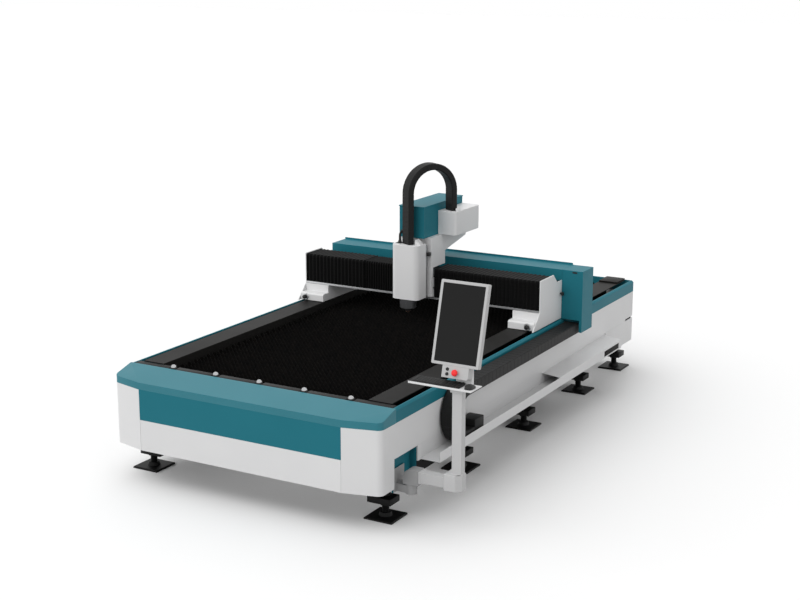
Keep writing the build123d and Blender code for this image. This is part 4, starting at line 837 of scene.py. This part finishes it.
def bed_fittings():
    """The strip that the balls sit in, the step at a rail cover's rear end and the notch's rear wall."""
    bar_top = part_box("bed_frame")[1].z
    hood_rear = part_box("front_hood")[1].y
    cover_low, cover_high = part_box("rail_covers")
    cups_low, cups_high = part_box("ball_cups")
    bar_half = 1035 * MM
    bar_rise = 17 * MM
    gap = 1 * MM
    cup = (cups_high.y - cups_low.y) / 2
    cup_room = cup + 2 * MM
    spots = spread(cups_low.x, cups_high.x, cup, BALL_COUNT)
    ends = [bed_x - bar_half] + [x + side * cup_room for x in spots for side in (-1, 1)] + [bed_x + bar_half]
    bar = bmesh.new()
    for left, right in zip(ends[::2], ends[1::2]):
        add_block(bar, (left, hood_rear + gap, bar_top), (right, cover_low.y - gap, bar_top + bar_rise),
                  bevel=2 * MM)
    ride_on(finish_mesh("ball_bar_top", bar, bar_steel, smooth=30), "base")
    step_width = 170 * MM
    step_length = 190 * MM
    step_rise = 13 * MM
    edge = 4 * MM
    step = bmesh.new()
    add_block(step, (cover_high.x - step_width, cover_high.y - step_length, cover_high.z),
              (cover_high.x - edge, cover_high.y - edge, cover_high.z + step_rise), bevel=3 * MM)
    ride_on(finish_mesh("rail_end_cover", step, dark_enamel, smooth=30), "base")
    liner_low, liner_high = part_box("inner_panel")
    panel_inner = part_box("right_lower_panels")[0].x
    sheet = 3 * MM
    wall = bmesh.new()
    add_block(wall, (liner_high.x, liner_high.y - sheet, liner_low.z),
              (panel_inner, liner_high.y, liner_high.z), bevel=1 * MM)
    ride_on(finish_mesh("notch_rear_wall", wall, teal_enamel, smooth=30), "base")


def tray_fittings():
    """The block that holds the long chain's fixed end, and an outlet louvre on the tray's outer face."""
    low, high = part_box("chain_tray")
    chain_low, chain_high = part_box("y_drag_chain")
    inset = 4 * MM
    anchor_front = -1085 * MM
    anchor_rear = -950 * MM
    anchor_top = 465 * MM
    tray_floor = low.z + 4.5 * MM
    anchor = bmesh.new()
    add_block(anchor, (chain_low.x + inset, anchor_front, tray_floor),
              (chain_high.x - inset, anchor_rear, anchor_top), bevel=6 * MM)
    ride_on(finish_mesh("chain_anchor", anchor, chain_nylon, smooth=30), "base")
    front = 1207 * MM
    rear = 1518 * MM
    floor_z = 341 * MM
    rise = 44 * MM
    blades = 5
    blade_half = 2 * MM
    blade_inset = 8 * MM
    # Set back from the tray's outer face
    plate_inner, plate_outer = high.x - 3.4 * MM, high.x - 1.4 * MM
    blade_inner, blade_outer = high.x - 2 * MM, high.x - 0.2 * MM
    louvre = bmesh.new()
    add_block(louvre, (plate_inner, front, floor_z), (plate_outer, rear, floor_z + rise), bevel=0.6 * MM)
    for k in range(blades):
        z = floor_z + rise * (k + 0.5) / blades
        add_block(louvre, (blade_inner, front + blade_inset, z - blade_half),
                  (blade_outer, rear - blade_inset, z + blade_half), bevel=0.8 * MM)
    ride_on(finish_mesh("outlet_louvre", louvre, dark_enamel, smooth=30), "base")


def bumper_caps():
    """Rubber buffers in metal rings on both gantry feet, in shares of their radius and length."""
    low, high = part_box("foot_bumpers")
    radius = (high.z - low.z) / 2
    length = high.y - low.y
    ring_outline = ((1, 0), (1, 0.2), (0.9, 0.28), (0.62, 0.28), (0.62, 0))
    rubber_outline = ((0, 0.02), (0.6, 0.02), (0.6, 0.75), (0.5, 0.95), (0.3, 1), (0, 1))
    rubber, ring = bmesh.new(), bmesh.new()
    for x in spread(low.x, high.x, radius, 2):
        turn = facing((x, high.y, low.z + radius), (0, -1, 0))
        add_lathe(ring, [(radius * a, length * b) for a, b in ring_outline], turn, ring=True)
        add_lathe(rubber, [(radius * a, length * b) for a, b in rubber_outline], turn)
    ride_on(finish_mesh("bumper_rubber", rubber, black_abs, smooth=40), "gantry", "foot_bumpers")
    ride_on(finish_mesh("bumper_ring", ring, plain_aluminium, smooth=40), "gantry")


def gantry_fittings():
    """A clamp knob on the right end plate and an oval cable grommet near the top of the leg cover."""
    plate_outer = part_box("end_plates")[1].x
    leg_low, leg_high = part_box("leg_cover")
    knob_y = leg_low.y - 30 * MM
    knob_z = 975 * MM
    knob = bmesh.new()
    add_lathe(knob, in_mm(((0, 0), (8, 0), (8, 12), (15, 13), (16, 17), (15, 26), (0, 27))),
              facing((plate_outer, knob_y, knob_z), (1, 0, 0)), steps=24)
    ride_on(finish_mesh("clamp_knob", knob, black_abs, smooth=40), "gantry")
    hole_x = (leg_low.x + leg_high.x) / 2 + 19 * MM
    hole_z = leg_high.z - 14 * MM
    half = 14 * MM
    radius = 7 * MM
    proud = 1.2 * MM
    sunk = 1 * MM
    sides = 24
    rim = []
    for k in range(sides):
        turn = 2 * math.pi * k / sides
        shift = half if math.cos(turn) > 0 else -half
        rim.append((hole_x + shift + radius * math.cos(turn), hole_z + radius * math.sin(turn)))
    oval = bmesh.new()
    add_skin(oval, [[oval.verts.new((x, y, z)) for x, z in rim]
                    for y in (leg_low.y - proud, leg_low.y + sunk)])
    ride_on(finish_mesh("leg_grommet", oval, black_abs, smooth=30), "gantry")


def head_fittings():
    """Brackets at both ends of the arched chain, a limit flag beside the head and a plate under the cable."""
    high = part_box("head_cover")[1]
    box_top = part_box("junction_box")[1].z
    # Outlines give the place right of the bed's centre line and the height, in millimetres
    gusset = in_mm(((62, 0), (104, 0), (104, 12), (72, 38), (62, 38)))
    plate = 6 * MM
    foot = bmesh.new()
    for y in (96 * MM, 138 * MM):
        add_hull(foot, [(bed_x + x, at, high.z + z) for at in (y - plate, y) for x, z in gusset])
    web_x, web_rise = bed_x + gusset[0][0], gusset[-1][1]
    web_front, web_rear = 94 * MM, 134 * MM
    add_block(foot, (web_x, web_front, high.z), (web_x + plate, web_rear, high.z + web_rise), bevel=1 * MM)
    ride_on(finish_mesh("chain_foot_low", foot, white_enamel, smooth=30), "head")
    wedge = in_mm(((249, 0), (266, 0), (266, 6), (252, 24), (249, 24)))
    wedge_front, wedge_rear = 405 * MM, 455 * MM
    clamp = bmesh.new()
    add_hull(clamp, [(bed_x + x, y, box_top + z) for y in (wedge_front, wedge_rear) for x, z in wedge])
    ride_on(finish_mesh("chain_foot_high", clamp, white_enamel, smooth=30), "carriage")
    flag_left, flag_right = high.x + 1 * MM, high.x + 24 * MM
    flag_front, flag_rear = high.y + 3 * MM, high.y + 38 * MM
    flag_low, flag_high = 1254 * MM, 1280 * MM
    flag = bmesh.new()
    add_block(flag, (flag_left, flag_front, flag_low), (flag_right, flag_rear, flag_high), bevel=1.5 * MM)
    ride_on(finish_mesh("limit_flag", flag, black_abs, smooth=30), "head")
    entry_left, entry_right = bed_x - 104 * MM, bed_x - 56 * MM
    entry_front, entry_rear = 78 * MM, 122 * MM
    entry_top = high.z + 4 * MM
    entry = bmesh.new()
    add_block(entry, (entry_left, entry_front, high.z), (entry_right, entry_rear, entry_top), bevel=2 * MM)
    ride_on(finish_mesh("lead_entry_plate", entry, black_abs, smooth=30), "head")


bed_fittings()
tray_fittings()
bumper_caps()
gantry_fittings()
head_fittings()


# Camera, light and floor

SKY_BASE = 0.38
# Direction, edge as the cosine of the angle from it, and power of each glow: high behind the left side, in
# front of that side, and on the right
SKY_GLOWS = (((-0.55, 0.42, 0.72), 0.5, 1.0),
             ((-0.45, -0.7, 0.55), 0.45, 1.35),
             ((0.92, -0.15, 0.36), 0.5, 0.55))


def shown_rays(tree):
    """1 for the rays that show the background: from the camera, off gloss and through glass."""
    rays = add_node(tree, "ShaderNodeLightPath")
    shown = rays.outputs["Is Camera Ray"]
    for kind in ("Is Glossy Ray", "Is Transmission Ray"):
        shown = add_node(tree, "ShaderNodeMath", {"operation": "MAXIMUM"},
                         links={0: shown, 1: rays.outputs[kind]}).outputs[0]
    return shown


def studio_sky():
    """A white room: plain white where the background shows, and a soft overcast with three glows as light."""
    world = bpy.data.worlds.new("white_studio")
    world.use_nodes = True
    scene.world = world
    tree = world.node_tree
    tree.nodes.clear()
    toward = add_node(tree, "ShaderNodeTexCoord").outputs["Generated"]
    total = None
    for direction, edge, power in SKY_GLOWS:
        nearness = add_node(tree, "ShaderNodeVectorMath", {"operation": "DOT_PRODUCT"},
                            {1: Vector(direction).normalized()}, {0: toward})
        glow = add_node(tree, "ShaderNodeMapRange", {"interpolation_type": "SMOOTHSTEP"},
                        {"From Min": edge, "From Max": 1.0, "To Max": power},
                        {"Value": nearness.outputs["Value"]})
        links = {0: glow.outputs["Result"]}
        if total:
            links[1] = total.outputs[0]
        total = add_node(tree, "ShaderNodeMath", inputs={1: SKY_BASE}, links=links)
    strength = add_node(tree, "ShaderNodeMix", inputs={"B": 1.0},
                        links={"Factor": shown_rays(tree), "A": total.outputs[0]})
    sky = add_node(tree, "ShaderNodeBackground", inputs={"Color": (1, 1, 1, 1)},
                   links={"Strength": strength.outputs["Result"]})
    add_node(tree, "ShaderNodeOutputWorld", links={"Surface": sky.outputs["Background"]})


def paper_floor():
    """Matt white paper, which sends less light back up than the camera sees on it."""
    half_side = 60
    bm = bmesh.new()
    bmesh.ops.create_grid(bm, x_segments=1, y_segments=1, size=half_side)
    paper, tree = blank_finish("white_paper_floor")
    tint = add_node(tree, "ShaderNodeMix", {"data_type": "RGBA"},
                    {"A": colour("#b4b4b4"), "B": colour("#f5f5f5")}, {"Factor": shown_rays(tree)})
    lit = add_node(tree, "ShaderNodeBsdfDiffuse", links={"Color": tint.outputs["Result"]})
    close_finish(tree, lit)
    finish_mesh("studio_floor", bm, paper)


def photo_camera():
    """The photograph's view, to the right of the front: its place is measured from the bed's centre line."""
    right, front, height = 5.3946, -9.4819, 3.5928
    down, around = math.radians(13.73), math.radians(29.72)
    lens = bpy.data.cameras.new("photo_camera")
    lens.sensor_width = 36.0
    lens.lens = 65.42
    lens.clip_end = 100
    camera = bpy.data.objects.new("photo_camera", lens)
    camera.location = (bed_x + right, front, height)
    camera.rotation_euler = (math.radians(90) - down, 0, around)
    scene.collection.objects.link(camera)
    scene.camera = camera


studio_sky()
paper_floor()
photo_camera()
